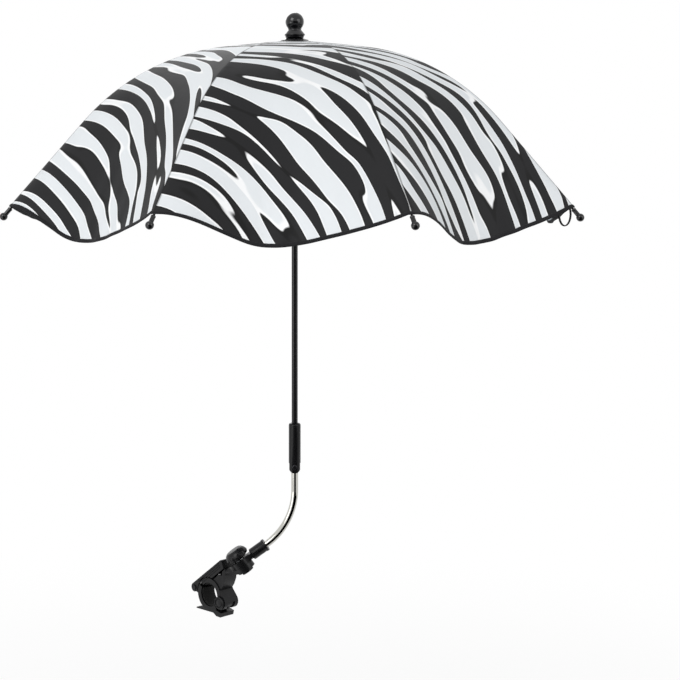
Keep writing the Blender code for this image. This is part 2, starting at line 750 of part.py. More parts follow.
def build_lever(finishes, lever):
    """Ribbed cam lever: a channel on a hub whose nose bears on the body."""
    origin = (LEVER_PIN_PLACE[0], 0, LEVER_PIN_PLACE[1])
    half = LEVER_WIDTH / 2
    deep = LEVER_DEPTH / 2
    handle = [
        *(lever_spot(x, z) for x, z in arc((0, 0), deep, pi / 2, 1.5 * pi, 8)),
        lever_spot(LEVER_LENGTH - LEVER_DEPTH * 0.2, -deep),
        lever_spot(LEVER_LENGTH, deep * 0.8),
        lever_spot(LEVER_LENGTH - LEVER_DEPTH * 0.1, deep),
    ]
    body = piece("clamp_lever", prism_y(handle, -half, half), finishes["plastic"], lever, origin)
    inside = [
        lever_spot(-2 * deep, -2 * deep),
        lever_spot(LEVER_LENGTH - LEVER_WALL, -2 * deep),
        lever_spot(LEVER_LENGTH - LEVER_WALL, deep - LEVER_WALL),
        lever_spot(LEVER_LUG_RADIUS, deep - LEVER_WALL),
        lever_spot(LEVER_LUG_RADIUS - LEVER_WALL / 2, 2 * deep),
        lever_spot(-2 * deep, 2 * deep),
    ]
    wall_in = LEVER_LUG_HALF + GAP
    clearance = rod_y((0, 0), CLAMP_OUTER_RADIUS + 5 * GAP, -2 * half, 2 * half, 36)
    hole = rod_y(LEVER_PIN_PLACE, LEVER_PIN_RADIUS + GAP, -2 * half, 2 * half, SMALL_STEPS)
    combine(
        body,
        "DIFFERENCE",
        tool("lever_channel", prism_y(inside, -wall_in, wall_in), lever, origin),
        tool("lever_clearance", clearance, lever, origin),
        tool("lever_hole", hole, lever, origin),
    )
    nose_top = deep - LEVER_WALL / 2
    nose = hull(
        [lever_spot(x, z) for x, z in circle(CAM_NOSE_PLACE, CAM_NOSE_WIDTH / 2, 12)]
        + [lever_spot(CAM_NOSE_PLACE[0] + side * CAM_NOSE_WIDTH / 2, nose_top) for side in (-1, 1)]
    )
    combine(body, "UNION", tool("lever_nose", prism_y(nose, -wall_in - GAP, wall_in + GAP), lever, origin))
    seat = rod_y((0, 0), CLAMP_OUTER_RADIUS + GAP, -half * 3, half * 3, 48)
    combine(body, "DIFFERENCE", tool("lever_nose_seat", seat, lever, origin))


def build_lever_pin(finishes, jaw):
    """Pin with a head at each end, through jaw lugs and lever."""
    lug_out = LEVER_WIDTH / 2 + GAP
    head = lug_out + LEVER_PIN_RADIUS / 2
    radius = LEVER_LUG_RADIUS * 0.62
    profile = [
        (0, -head),
        (radius, -head),
        (radius, -lug_out),
        (LEVER_PIN_RADIUS, -lug_out),
        (LEVER_PIN_RADIUS, lug_out),
        (radius, lug_out),
        (radius, head),
        (0, head),
    ]
    pin = along(turned(profile, SMALL_STEPS + 4), "Y")
    bmesh.ops.translate(pin, verts=pin.verts, vec=(LEVER_PIN_PLACE[0], 0, LEVER_PIN_PLACE[1]))
    piece("lever_pin", pin, finishes["steel"], jaw, (PIVOT_PLACE[0], 0, PIVOT_PLACE[1]))


def build_swivel(finishes, arm, knob):
    """Bolt in the clamp ear, washer, knob and the nut moulded into it."""
    ear_low = -EAR_THICKNESS / 2 - GAP - EAR_THICKNESS
    head_low = ear_low - BOSS_HEIGHT
    washer_low = EAR_THICKNESS / 2 + GAP
    knob_low = washer_low + WASHER_THICKNESS + GAP
    bolt_top = knob_low + KNOB_HEIGHT * 0.7
    shank = rod(BOLT_RADIUS, head_low + GAP, bolt_top, SMALL_STEPS)
    bolt = piece("swivel_bolt", shank, finishes["steel"], arm)
    hexagon = circle((0, 0), BOLT_HEAD_RADIUS, 6)
    head = prism_z(hexagon, head_low, head_low + BOLT_HEAD_HEIGHT)
    combine(bolt, "UNION", tool("swivel_bolt_head", head, arm))
    washer_high = washer_low + WASHER_THICKNESS
    washer = ring(BOLT_RADIUS + GAP, WASHER_RADIUS, washer_low, washer_high, SMALL_STEPS * 2)
    piece("swivel_washer", washer, finishes["steel"], arm)

    top = knob_low + KNOB_HEIGHT
    edge = KNOB_HEIGHT / 6
    profile = [
        (0, knob_low),
        (KNOB_RADIUS * 0.62, knob_low),
        (KNOB_RADIUS - edge / 2, knob_low + edge),
        (KNOB_RADIUS, knob_low + 2.4 * edge),
        (KNOB_RADIUS - edge * 0.6, knob_low + 4 * edge),
        (KNOB_RADIUS - edge * 1.5, top - edge * 0.8),
        (KNOB_RADIUS - 2.6 * edge, top),
        (0, top),
    ]
    turning = piece("swivel_knob", turned(profile, KNOB_LOBES * 4), finishes["plastic"], knob)
    grooves = []
    for k in range(KNOB_LOBES):
        angle = 2 * pi * (k + 0.5) / KNOB_LOBES
        groove = rod(KNOB_GROOVE_RADIUS, knob_low - GAP, top + GAP, 8)
        shift = (KNOB_RADIUS * 1.06 * cos(angle), KNOB_RADIUS * 1.06 * sin(angle), 0)
        bmesh.ops.translate(groove, verts=groove.verts, vec=shift)
        grooves.append(tool(f"knob_groove_{k + 1}", groove, knob))
    nut_low = knob_low + GAP
    nut_high = nut_low + NUT_HEIGHT
    pocket = prism_z(circle((0, 0), NUT_RADIUS + GAP, 6), knob_low - GAP, nut_high + GAP)
    combine(
        turning,
        "DIFFERENCE",
        *grooves,
        tool("knob_pocket", pocket, knob),
        tool("knob_hole", rod(BOLT_RADIUS + GAP, knob_low - GAP, bolt_top + GAP, SMALL_STEPS), knob),
    )
    nut_body = prism_z(circle((0, 0), NUT_RADIUS, 6), nut_low, nut_high)
    nut = piece("knob_nut", nut_body, finishes["steel"], knob)
    nut_hole = rod(BOLT_RADIUS + GAP, nut_low - GAP, nut_high + GAP, SMALL_STEPS)
    combine(nut, "DIFFERENCE", tool("knob_nut_hole", nut_hole, knob))


def build_arm(finishes, arm):
    """Socket on the swivel ear, with the cross pin that holds the tube."""
    half = EAR_THICKNESS / 2
    socket = piece("arm_socket", rod(EAR_RADIUS, -half, half), finishes["plastic"], arm)
    barrel = [
        (0, SOCKET_START),
        (SOCKET_RADIUS - SOCKET_LIP_RISE, SOCKET_START),
        (SOCKET_RADIUS, SOCKET_START + SOCKET_LIP_RISE),
        (SOCKET_RADIUS, SOCKET_END - SOCKET_LIP - SOCKET_LIP_RISE),
        (SOCKET_RADIUS + SOCKET_LIP_RISE, SOCKET_END - SOCKET_LIP),
        (SOCKET_RADIUS + SOCKET_LIP_RISE, SOCKET_END),
        (0, SOCKET_END),
    ]
    neck = bmesh.new()
    for y, z in ((-1, -1), (-1, 1), (1, -1), (1, 1)):
        neck.verts.new((0, y * (EAR_RADIUS - half / 2), z * (half - GAP)))
        neck.verts.new((SOCKET_START + SOCKET_LIP, y * (SOCKET_RADIUS - 2 * GAP), z * (half - GAP)))
    flare = bmesh.new()
    for y, z in circle((0, 0), SOCKET_RADIUS - 2 * GAP, 16):
        flare.verts.new((EAR_RADIUS + EAR_CLEARANCE, y, max(-half + 2 * GAP, min(z, half - 2 * GAP))))
        flare.verts.new((SOCKET_START + SOCKET_LIP, y, min(z, half - 2 * GAP)))
    for hulled in (neck, flare):
        bmesh.ops.convex_hull(hulled, input=hulled.verts)
        loose = [v for v in hulled.verts if not v.link_faces]
        bmesh.ops.delete(hulled, geom=loose, context="VERTS")
    combine(
        socket,
        "UNION",
        tool("socket_barrel", along(turned(barrel), "X"), arm),
        tool("socket_neck", neck, arm),
        tool("socket_flare", flare, arm),
    )
    tube_start = TUBE_BEND_START - TUBE_INSERTION
    bore = along(rod(TUBE_RADIUS + GAP, tube_start - GAP, SOCKET_END + GAP), "X")
    reach = 2 * SOCKET_RADIUS
    pin_hole = rod_y((SOCKET_PIN_PLACE, 0), CROSS_PIN_RADIUS + GAP, -reach, reach, SMALL_STEPS)
    combine(
        socket,
        "DIFFERENCE",
        tool("socket_bore", bore, arm),
        tool("socket_bolt_hole", rod(BOLT_RADIUS + GAP, -2 * half, 2 * half, SMALL_STEPS), arm),
        tool("socket_pin_hole", pin_hole, arm),
    )
    pin = rod_y((SOCKET_PIN_PLACE, 0), CROSS_PIN_RADIUS, -SOCKET_RADIUS, SOCKET_RADIUS, SMALL_STEPS)
    piece("socket_pin", pin, finishes["steel"], arm)


def tube_path():
    """Centre line of the bent tube from its lower end to its top, as (x, z, slope)."""
    start = TUBE_BEND_START - TUBE_INSERTION
    path = []
    for distance in (start, SOCKET_PIN_PLACE, TUBE_BEND_START):
        x = SWIVEL_PLACE[0] + distance * cos(ARM_RISE)
        z = SWIVEL_PLACE[2] + distance * sin(ARM_RISE)
        path.append((x, z, ARM_RISE))
    bend = pi / 2 - ARM_RISE
    steps = 10
    centre_x = path[-1][0] - TUBE_BEND_RADIUS * sin(ARM_RISE)
    centre_z = path[-1][1] + TUBE_BEND_RADIUS * cos(ARM_RISE)
    for k in range(1, steps + 1):
        slope = ARM_RISE + bend * k / steps
        x = centre_x + TUBE_BEND_RADIUS * sin(slope)
        path.append((x, centre_z - TUBE_BEND_RADIUS * cos(slope), slope))
    path.append((path[-1][0], TUBE_TOP, pi / 2))
    return path


def build_tube(finishes, stand, arm):
    """Bent tube between the socket and the tilt joint."""
    tube = swept_tube(tube_path(), TUBE_RADIUS, TUBE_RADIUS - TUBE_WALL, 20)
    bmesh.ops.translate(tube, verts=tube.verts, vec=(0, SHAFT_Y, 0))
    obj = piece("bent_tube", tube, finishes["chrome"], stand)
    reach = 2 * TUBE_RADIUS
    hole = rod_y((SOCKET_PIN_PLACE, 0), CROSS_PIN_RADIUS + GAP, -reach, reach, SMALL_STEPS)
    combine(obj, "DIFFERENCE", tool("tube_pin_hole", hole, arm))


def build_tilt(finishes, tilt_low, tilt):
    """Knuckle in the tube, rivet and washer, then the housing that turns on them."""
    tongue_half = TONGUE_WIDTH / 2
    shoulder = -FORK_END_RADIUS
    neck_half = TUBE_RADIUS - TUBE_WALL - 4 * GAP
    outline = [
        (-neck_half, shoulder - 4 * GAP),
        (neck_half, shoulder - 4 * GAP),
        (neck_half, shoulder),
        (tongue_half, shoulder),
        *arc((0, 0), tongue_half, 0, pi, 12),
        (-tongue_half, shoulder),
        (-neck_half, shoulder),
    ]
    far_face = TONGUE_THICKNESS / 2 - TILT_WASHER_THICKNESS / 2 - GAP / 2
    near_face = far_face - TONGUE_THICKNESS
    knuckle = piece("tilt_knuckle", prism_y(outline, near_face, far_face), finishes["steel"], tilt_low)
    plug = rod(TUBE_RADIUS - TUBE_WALL - GAP, shoulder - GAP - KNUCKLE_PLUG_LENGTH, shoulder - GAP, 20)
    combine(knuckle, "UNION", tool("tilt_knuckle_plug", plug, tilt_low))
    hole = rod_y((0, 0), TILT_RIVET_RADIUS + GAP, -TONGUE_THICKNESS, TONGUE_THICKNESS, SMALL_STEPS)
    combine(knuckle, "DIFFERENCE", tool("tilt_knuckle_hole", hole, tilt_low))

    washer_low = far_face + GAP
    washer_high = washer_low + TILT_WASHER_THICKNESS
    washer = along(ring(TILT_RIVET_RADIUS + GAP, tongue_half - GAP, washer_low, washer_high), "Y")
    piece("tilt_washer", washer, finishes["steel"], tilt)

    seat = CHEEK_FLAT + GAP
    head = seat + RIVET_HEAD_HEIGHT
    profile = [
        (0, -head),
        (RIVET_HEAD_RADIUS * 0.7, -head),
        (RIVET_HEAD_RADIUS, -head + RIVET_HEAD_HEIGHT / 2),
        (RIVET_HEAD_RADIUS, -seat),
        (TILT_RIVET_RADIUS, -seat),
        (TILT_RIVET_RADIUS, seat),
        (RIVET_HEAD_RADIUS, seat),
        (RIVET_HEAD_RADIUS, head - RIVET_HEAD_HEIGHT / 2),
        (RIVET_HEAD_RADIUS * 0.7, head),
        (0, head),
    ]
    piece("tilt_rivet", along(turned(profile, 16), "Y"), finishes["painted"], tilt)

    top = HOUSING_ABOVE_PIN
    chamfer = HOUSING_RADIUS * 0.3
    shell = [
        (0, -FORK_END_RADIUS),
        (HOUSING_RADIUS, -FORK_END_RADIUS),
        (HOUSING_RADIUS, top - chamfer),
        (HOUSING_RADIUS - chamfer * 0.3, top - chamfer * 0.3),
        (HOUSING_RADIUS - chamfer, top),
        (0, top),
    ]
    housing = piece("tilt_housing", turned(shell), finishes["plastic"], tilt)
    side = HOUSING_RADIUS * 2
    rounded = [(-side, 0), *arc((0, 0), FORK_END_RADIUS, pi, 2 * pi, 14), (side, 0)]
    outer = [(HOUSING_RADIUS * 2, -FORK_END_RADIUS * 2), (-HOUSING_RADIUS * 2, -FORK_END_RADIUS * 2)]
    trim = prism_y(rounded + outer, -2 * HOUSING_RADIUS, 2 * HOUSING_RADIUS)
    slot_high = tongue_half + 2 * GAP
    slot_near = near_face - GAP
    slot_far = washer_high + GAP
    wide = 2 * HOUSING_RADIUS
    low = -2 * FORK_END_RADIUS
    slot = [(-wide, low), (wide, low), (wide, slot_high), (-wide, slot_high)]
    flat = [(-wide, low), (wide, low), (wide, tongue_half * 2), (-wide, tongue_half * 2)]
    shaft_low = SHAFT_BOTTOM - TILT_Z
    pin_z = shaft_low + SHAFT_PIN_DEPTH
    pin_hole = along(rod(CROSS_PIN_RADIUS + GAP, -wide, wide, SMALL_STEPS), "X")
    bmesh.ops.translate(pin_hole, verts=pin_hole.verts, vec=(0, 0, pin_z))
    combine(
        housing,
        "DIFFERENCE",
        tool("housing_round_end", trim, tilt),
        tool("housing_slot", prism_y(slot, slot_near, slot_far), tilt),
        tool("housing_flat_near", prism_y(flat, -wide, -CHEEK_FLAT), tilt),
        tool("housing_flat_far", prism_y(flat, CHEEK_FLAT, wide), tilt),
        tool("housing_rivet_hole", rod_y((0, 0), TILT_RIVET_RADIUS + GAP, -wide, wide, SMALL_STEPS), tilt),
        tool("housing_bore", rod(SHAFT_RADIUS + GAP, shaft_low - GAP, top + GAP), tilt),
        tool("housing_pin_hole", pin_hole, tilt),
    )
    pin = along(rod(CROSS_PIN_RADIUS, -HOUSING_RADIUS, HOUSING_RADIUS, SMALL_STEPS), "X")
    bmesh.ops.translate(pin, verts=pin.verts, vec=(0, 0, pin_z))
    piece("shaft_pin", pin, finishes["steel"], tilt)


def catch_place():
    """Height of the shoulder of the spring catch, just under the runner's skirt."""
    skirt_end = HINGE_Z - runner_drop() - RUNNER_SKIRT_LENGTH
    return skirt_end - GAP


def build_shaft(finishes, shaft):
    """Shaft tube with the window for its spring catch, and the catch itself."""
    low = SHAFT_BOTTOM
    high = CANOPY_TOP + COVER_THICKNESS + FINIAL_HEIGHT * 0.45
    wall = ring(SHAFT_RADIUS - SHAFT_WALL, SHAFT_RADIUS, low, high)
    tube = piece("shaft", wall, finishes["painted"], shaft)
    hole = along(rod(CROSS_PIN_RADIUS + GAP, -2 * SHAFT_RADIUS, 2 * SHAFT_RADIUS, SMALL_STEPS), "X")
    bmesh.ops.translate(hole, verts=hole.verts, vec=(0, 0, low + SHAFT_PIN_DEPTH))
    shoulder = catch_place()
    window_half = CATCH_WIDTH / 2 + GAP
    reach = 2 * SHAFT_RADIUS
    window = [(0, -window_half), (reach, -window_half), (reach, window_half), (0, window_half)]
    combine(
        tube,
        "DIFFERENCE",
        tool("shaft_pin_hole", hole, shaft),
        tool("shaft_window", prism_z(window, shoulder - CATCH_LENGTH * 0.6, shoulder + GAP), shaft),
    )
    inside = SHAFT_RADIUS - SHAFT_WALL - GAP
    outside = SHAFT_RADIUS + CATCH_STAND
    bent = [
        (inside - CATCH_WIRE, shoulder - CATCH_LENGTH),
        (inside, shoulder - CATCH_LENGTH),
        (inside, shoulder - CATCH_LENGTH * 0.55),
        (outside, shoulder - CATCH_WIRE),
        (outside, shoulder),
        (0.0, shoulder),
        (0.0, shoulder - CATCH_WIRE),
        (outside - 2 * CATCH_WIRE, shoulder - CATCH_WIRE),
        (inside - CATCH_WIRE, shoulder - CATCH_LENGTH * 0.5),
    ]
    half = CATCH_WIDTH / 2
    piece("top_catch_spring", prism_y(bent, -half, half), finishes["steel"], shaft, smooth=False)


def build_crown(finishes, crown):
    """Slotted crown, its hinge wire, the cloth cover plate and the finial."""
    low = -CROWN_HEIGHT / 2
    high = HINGE_DEPTH - CLOTH_THICKNESS - CLOTH_START_RADIUS * tan(CROWN_SLOPE) - 2 * GAP
    body = piece("crown", ring(SHAFT_RADIUS + GAP, CROWN_RADIUS, low, high, 32), finishes["plastic"], crown)
    slot_half = SLOT_WIDTH / 2
    reach = CROWN_RADIUS * 1.5
    slot = [(HUB_RADIUS, -slot_half), (reach, -slot_half), (reach, slot_half), (HUB_RADIUS, slot_half)]
    groove_half = HINGE_WIRE_RADIUS + GAP
    groove = ring(HINGE_RADIUS - groove_half, HINGE_RADIUS + groove_half, -groove_half, high + GAP, 40)
    cutters = [tool("crown_groove", groove, crown)]
    for k, angle in enumerate(rib_angles()):
        cutter = prism_z(slot, low - GAP, high + GAP)
        bmesh.ops.rotate(cutter, verts=cutter.verts, cent=(0, 0, 0), matrix=Matrix.Rotation(angle, 3, "Z"))
        cutters.append(tool(f"crown_slot_{k + 1}", cutter, crown))
    combine(body, "DIFFERENCE", *cutters)
    wire = circle((HINGE_RADIUS, 0), HINGE_WIRE_RADIUS, 6)
    piece("crown_wire", turned(wire, 40, closed=True), finishes["steel"], crown)


def build_top(finishes, shaft):
    """Cover plate over the cloth's centre and the ball finial on the shaft's end."""
    low = CANOPY_TOP + GAP
    edge = COVER_RADIUS * tan(CROWN_SLOPE) * 0.9
    plate = [
        (SHAFT_RADIUS + GAP, low),
        (COVER_RADIUS, low - edge),
        (COVER_RADIUS, low - edge + COVER_THICKNESS / 2),
        (COVER_RADIUS * 0.6, low + COVER_THICKNESS),
        (SHAFT_RADIUS + GAP, low + COVER_THICKNESS),
    ]
    piece("cover_plate", turned(plate, 32, closed=True), finishes["gloss"], shaft)

    base = low + COVER_THICKNESS + GAP
    ball = base + FINIAL_HEIGHT - FINIAL_BALL_RADIUS
    neck_height = ball - FINIAL_BALL_RADIUS * 0.66
    start = -asin((ball - neck_height) / FINIAL_BALL_RADIUS)
    ball_arc = arc((0, ball), FINIAL_BALL_RADIUS, start, pi / 2, 10)[:-1]
    skirt = [
        (0, base),
        (FINIAL_SKIRT_RADIUS * 0.86, base),
        (FINIAL_SKIRT_RADIUS * 0.9, base + 0.0030),
        (FINIAL_SKIRT_RADIUS, base + 0.0036),
        (FINIAL_SKIRT_RADIUS * 0.96, base + 0.0050),
    ]
    outline = skirt + ball_arc + [(0, base + FINIAL_HEIGHT)]
    finial = piece("finial", turned(outline, 28), finishes["gloss"], shaft)
    shaft_high = CANOPY_TOP + COVER_THICKNESS + FINIAL_HEIGHT * 0.45
    bore = rod(SHAFT_RADIUS + GAP, base - GAP, shaft_high + GAP)
    combine(finial, "DIFFERENCE", tool("finial_bore", bore, shaft))


def rib_section():
    """Rounded section of a rib as (offset, y) points."""
    n, y = RIB_DEPTH / 2, RIB_WIDTH / 2
    low_half = [(n, -y * 0.5), (n * 0.4, -y), (-n * 0.4, -y)]
    return [(-n, -y * 0.5), (-n, y * 0.5), (-n * 0.4, y), (n * 0.4, y), (n, y * 0.5), *low_half]


def rib_end():
    """Where the rib's centre line leaves the cloth, as (radius, height)."""
    radius, height, _ = rib_line(HEM_RADIUS)
    return radius, height


def build_rib(finishes, number, rib):
    """Curved rib with its hinge eye and the riveted bracket for its stretcher."""
    origin = (HINGE_RADIUS, 0, HINGE_Z)
    path = [rib_line(HINGE_RADIUS + EYE_RADIUS * 1.6)]
    path += [rib_line(row_radius(i / CLOTH_ROWS)) for i in range(1, CLOTH_ROWS + 1)]
    end_r, end_z = rib_end()
    path.append((end_r + RIB_END * cos(EDGE_SLOPE), end_z - RIB_END * sin(EDGE_SLOPE), -EDGE_SLOPE))
    body = piece(f"rib_{number}", swept(path, rib_section()), finishes["painted"], rib, origin)
    start = path[0]
    thin = EYE_THICKNESS / 2
    eye = hull(
        circle((HINGE_RADIUS, HINGE_Z), EYE_RADIUS, 16)
        + [(start[0] + RIB_DEPTH, start[1] + side * RIB_DEPTH * 0.3) for side in (1, -1)]
    )
    pivot, _, _ = stretcher_pivot()
    _, _, slope = rib_line(STRETCHER_RADIUS)
    reach = BRACKET_LENGTH / 2
    corners = [(-reach, 0.0), (reach, 0.0)]
    cheek = []
    mount_r, mount_z, _ = rib_line(STRETCHER_RADIUS)
    for forward, up in corners:
        across = mount_r + forward * cos(slope) - up * sin(slope)
        cheek.append((across, mount_z + forward * sin(slope) + up * cos(slope)))
    cheek = hull(cheek + circle(pivot, STRETCHER_DEPTH / 2 + BRACKET_WALL, 12))
    inner = STRETCHER_WIDTH / 2 + GAP
    outer = inner + BRACKET_WALL
    rivet = rod_y(pivot, EYE_HOLE_RADIUS - GAP, -outer - BRACKET_WALL / 2, outer + BRACKET_WALL / 2, 8)
    combine(
        body,
        "UNION",
        tool(f"rib_{number}_eye", prism_y(eye, -thin, thin), rib, origin),
        tool(f"rib_{number}_cheek_near", prism_y(cheek, -outer, -inner), rib, origin),
        tool(f"rib_{number}_cheek_far", prism_y(cheek, inner, outer), rib, origin),
        tool(f"rib_{number}_rivet", rivet, rib, origin),
    )
    hole = rod_y((HINGE_RADIUS, HINGE_Z), EYE_HOLE_RADIUS, -EYE_THICKNESS, EYE_THICKNESS, 8)
    combine(body, "DIFFERENCE", tool(f"rib_{number}_hole", hole, rib, origin))

    profile = [
        (0, TIP_STEM_LENGTH + 2 * TIP_BALL_RADIUS),
        *arc((0, TIP_STEM_LENGTH + TIP_BALL_RADIUS), TIP_BALL_RADIUS, pi / 2, -radians(52), 5)[1:],
        (TIP_STEM_RADIUS, TIP_STEM_LENGTH - TIP_STEM_RADIUS * 0.2),
        (TIP_STEM_RADIUS, 0),
        (0, 0),
    ]
    tip = turned(profile[::-1], 10)
    turn = Matrix.Rotation(pi / 2 + EDGE_SLOPE, 4, "Y")
    base = (end_r + 2 * GAP, end_z - 2 * GAP)
    bmesh.ops.transform(tip, matrix=Matrix.Translation((base[0], 0, base[1])) @ turn, verts=tip.verts)
    cap = piece(f"rib_tip_{number}", tip, finishes["gloss"], rib, origin)
    bore_r = hypot(RIB_DEPTH, RIB_WIDTH) / 2 + GAP
    bore = rod(bore_r, -TIP_STEM_LENGTH, RIB_END + GAP, 8)
    bmesh.ops.transform(bore, matrix=Matrix.Translation((base[0], 0, base[1])) @ turn, verts=bore.verts)
    combine(cap, "DIFFERENCE", tool(f"rib_tip_{number}_bore", bore, rib, origin))


def strap_place():
    """Inner side and centre (side, radius, height) of the strap's loop.

    The loop touches the cloth's underside, which falls away from the rib.
    """
    drop, slope = profile_at(STRAP_RADIUS)
    half = pi / RIB_COUNT
    side = RIB_WIDTH / 2 + 2 * GAP
    reach = side + STRAP_WIDTH
    row = (STRAP_RADIUS - CLOTH_START_RADIUS) / (HEM_RADIUS - CLOTH_START_RADIUS)
    near, far = CLOTH_COLUMNS[6], CLOTH_COLUMNS[7]
    share = max(0.0, reach / (STRAP_RADIUS * half) - near) / (far - near)
    hang = share * (cloth_point(row, half * near, 0)[2] - cloth_point(row, half * far, 0)[2])
    fall = reach * tan(half) * sin(slope) + hang * (cos(slope) - SCALLOP_FLARE * sin(slope))
    under = CLOTH_THICKNESS + fall + 2 * GAP
    tangent = atan2(STRAP_DROP, STRAP_REACH * tan(slope))
    centre_r = STRAP_RADIUS - under * sin(slope) - STRAP_REACH * cos(tangent)
    centre_z = CANOPY_TOP - drop - under * cos(slope) - STRAP_DROP * sin(tangent)
    return side, centre_r, centre_z


def strap_top():
    """Height of the top of the strap's loop, where it hangs."""
    return strap_place()[2] + STRAP_DROP


def build_strap(finishes, rib):
    """Oval loop of webbing that hangs beside the rib, under the hem's corner."""
    side, centre_r, centre_z = strap_place()
    far_side = side + STRAP_WIDTH
    mesh = bmesh.new()
    steps = 20
    loops = []
    for inset, y in ((0, side), (STRAP_THICKNESS, side), (STRAP_THICKNESS, far_side), (0, far_side)):
        wide, tall = STRAP_REACH - inset, STRAP_DROP - inset
        angles = [2 * pi * k / steps for k in range(steps)]
        spots = [(centre_r + wide * cos(a), y, centre_z + tall * sin(a)) for a in angles]
        loops.append([mesh.verts.new(spot) for spot in spots])
    for first, second in zip(loops, loops[1:] + loops[:1]):
        for k in range(steps):
            following = (k + 1) % steps
            mesh.faces.new((first[k], first[following], second[following], second[k]))
    piece("closure_strap", mesh, finishes["webbing"], rib, (HINGE_RADIUS, 0, HINGE_Z))


def build_stretcher(finishes, number, hinge):
    """Straight stretcher from its rib's bracket to the runner."""
    (pivot_r, pivot_z), reach, fall = stretcher_pivot()
    half = STRETCHER_DEPTH / 2
    foot = (pivot_r - reach * cos(fall), pivot_z - reach * sin(fall))
    outline = hull(circle((pivot_r, pivot_z), half, 12) + circle(foot, half, 12))
    thin = STRETCHER_WIDTH / 2
    origin = (pivot_r, 0, pivot_z)
    body = piece(f"stretcher_{number}", prism_y(outline, -thin, thin), finishes["painted"], hinge, origin)
    hole = rod_y((pivot_r, pivot_z), EYE_HOLE_RADIUS, -2 * thin, 2 * thin, 8)
    combine(body, "DIFFERENCE", tool(f"stretcher_{number}_hole", hole, hinge, origin))


def build_runner(finishes, runner):
    """Sliding runner: slotted ring, slim skirt and thumb flange."""
    half = RUNNER_RING_HEIGHT / 2
    bottom = -RUNNER_SKIRT_LENGTH
    edge = RUNNER_FLANGE_HEIGHT / 3
    profile = [
        (SHAFT_RADIUS + GAP, bottom),
        (RUNNER_FLANGE_RADIUS - edge, bottom),
        (RUNNER_FLANGE_RADIUS, bottom + edge),
        (RUNNER_FLANGE_RADIUS, bottom + RUNNER_FLANGE_HEIGHT - edge),
        (RUNNER_FLANGE_RADIUS - edge, bottom + RUNNER_FLANGE_HEIGHT),
        (RUNNER_SKIRT_RADIUS, bottom + RUNNER_FLANGE_HEIGHT),
        (RUNNER_SKIRT_RADIUS, -half),
        (RUNNER_RING_RADIUS, -half),
        (RUNNER_RING_RADIUS, half),
        (SHAFT_RADIUS + GAP, half),
    ]
    body = piece("runner", turned(profile, 32, closed=True), finishes["plastic"], runner)
    slot_half = SLOT_WIDTH / 2
    reach = RUNNER_RING_RADIUS * 1.5
    slot = [(HUB_RADIUS, -slot_half), (reach, -slot_half), (reach, slot_half), (HUB_RADIUS, slot_half)]
    cutters = []
    for k, angle in enumerate(rib_angles()):
        cutter = prism_z(slot, -half - GAP, half + GAP)
        bmesh.ops.rotate(cutter, verts=cutter.verts, cent=(0, 0, 0), matrix=Matrix.Rotation(angle, 3, "Z"))
        cutters.append(tool(f"runner_slot_{k + 1}", cutter, runner))
    combine(body, "DIFFERENCE", *cutters)


def print_motion():
    """Print the places, axes and limits that the joints of this part have."""
    (pivot_r, pivot_z), reach, fall = stretcher_pivot()
    turn = Matrix.Rotation(CLAMP_TURN, 4, "Z")
    print("jaw hinge", [round(v, 6) for v in turn @ Vector((PIVOT_PLACE[0], 0, PIVOT_PLACE[1]))])
    print("lever hinge", [round(v, 6) for v in turn @ Vector((LEVER_PIN_PLACE[0], 0, LEVER_PIN_PLACE[1]))])
    print("swivel", SWIVEL_PLACE, "axis", [round(v, 6) for v in (-sin(ARM_RISE), 0, cos(ARM_RISE))])
    print("tilt", [round(v, 6) for v in (SHAFT_X, SHAFT_Y, TILT_Z)])
    print("shaft axis", round(SHAFT_X, 6), round(SHAFT_Y, 6), "hinge height", round(HINGE_Z, 6))
    travel = runner_drop(FOLD_ANGLE) - runner_drop()
    per_radian = round(travel / FOLD_ANGLE, 6)
    print("runner", round(runner_drop(), 6), "travel", round(travel, 6), "per radian", per_radian)
    for number, angle in enumerate(rib_angles(), 1):
        radial = Vector((cos(angle), sin(angle), 0))
        hinge = Vector((SHAFT_X, SHAFT_Y, HINGE_Z)) + radial * HINGE_RADIUS
        knee = Vector((SHAFT_X, SHAFT_Y, pivot_z)) + radial * pivot_r
        axis = (-sin(angle), cos(angle), 0.0)
        spots = ([round(v, 6) for v in spot] for spot in (hinge, knee, axis))
        print("rib", number, *spots)
    print("catch foot", round(catch_place() - CATCH_LENGTH, 6), "strap top", round(strap_top(), 6))


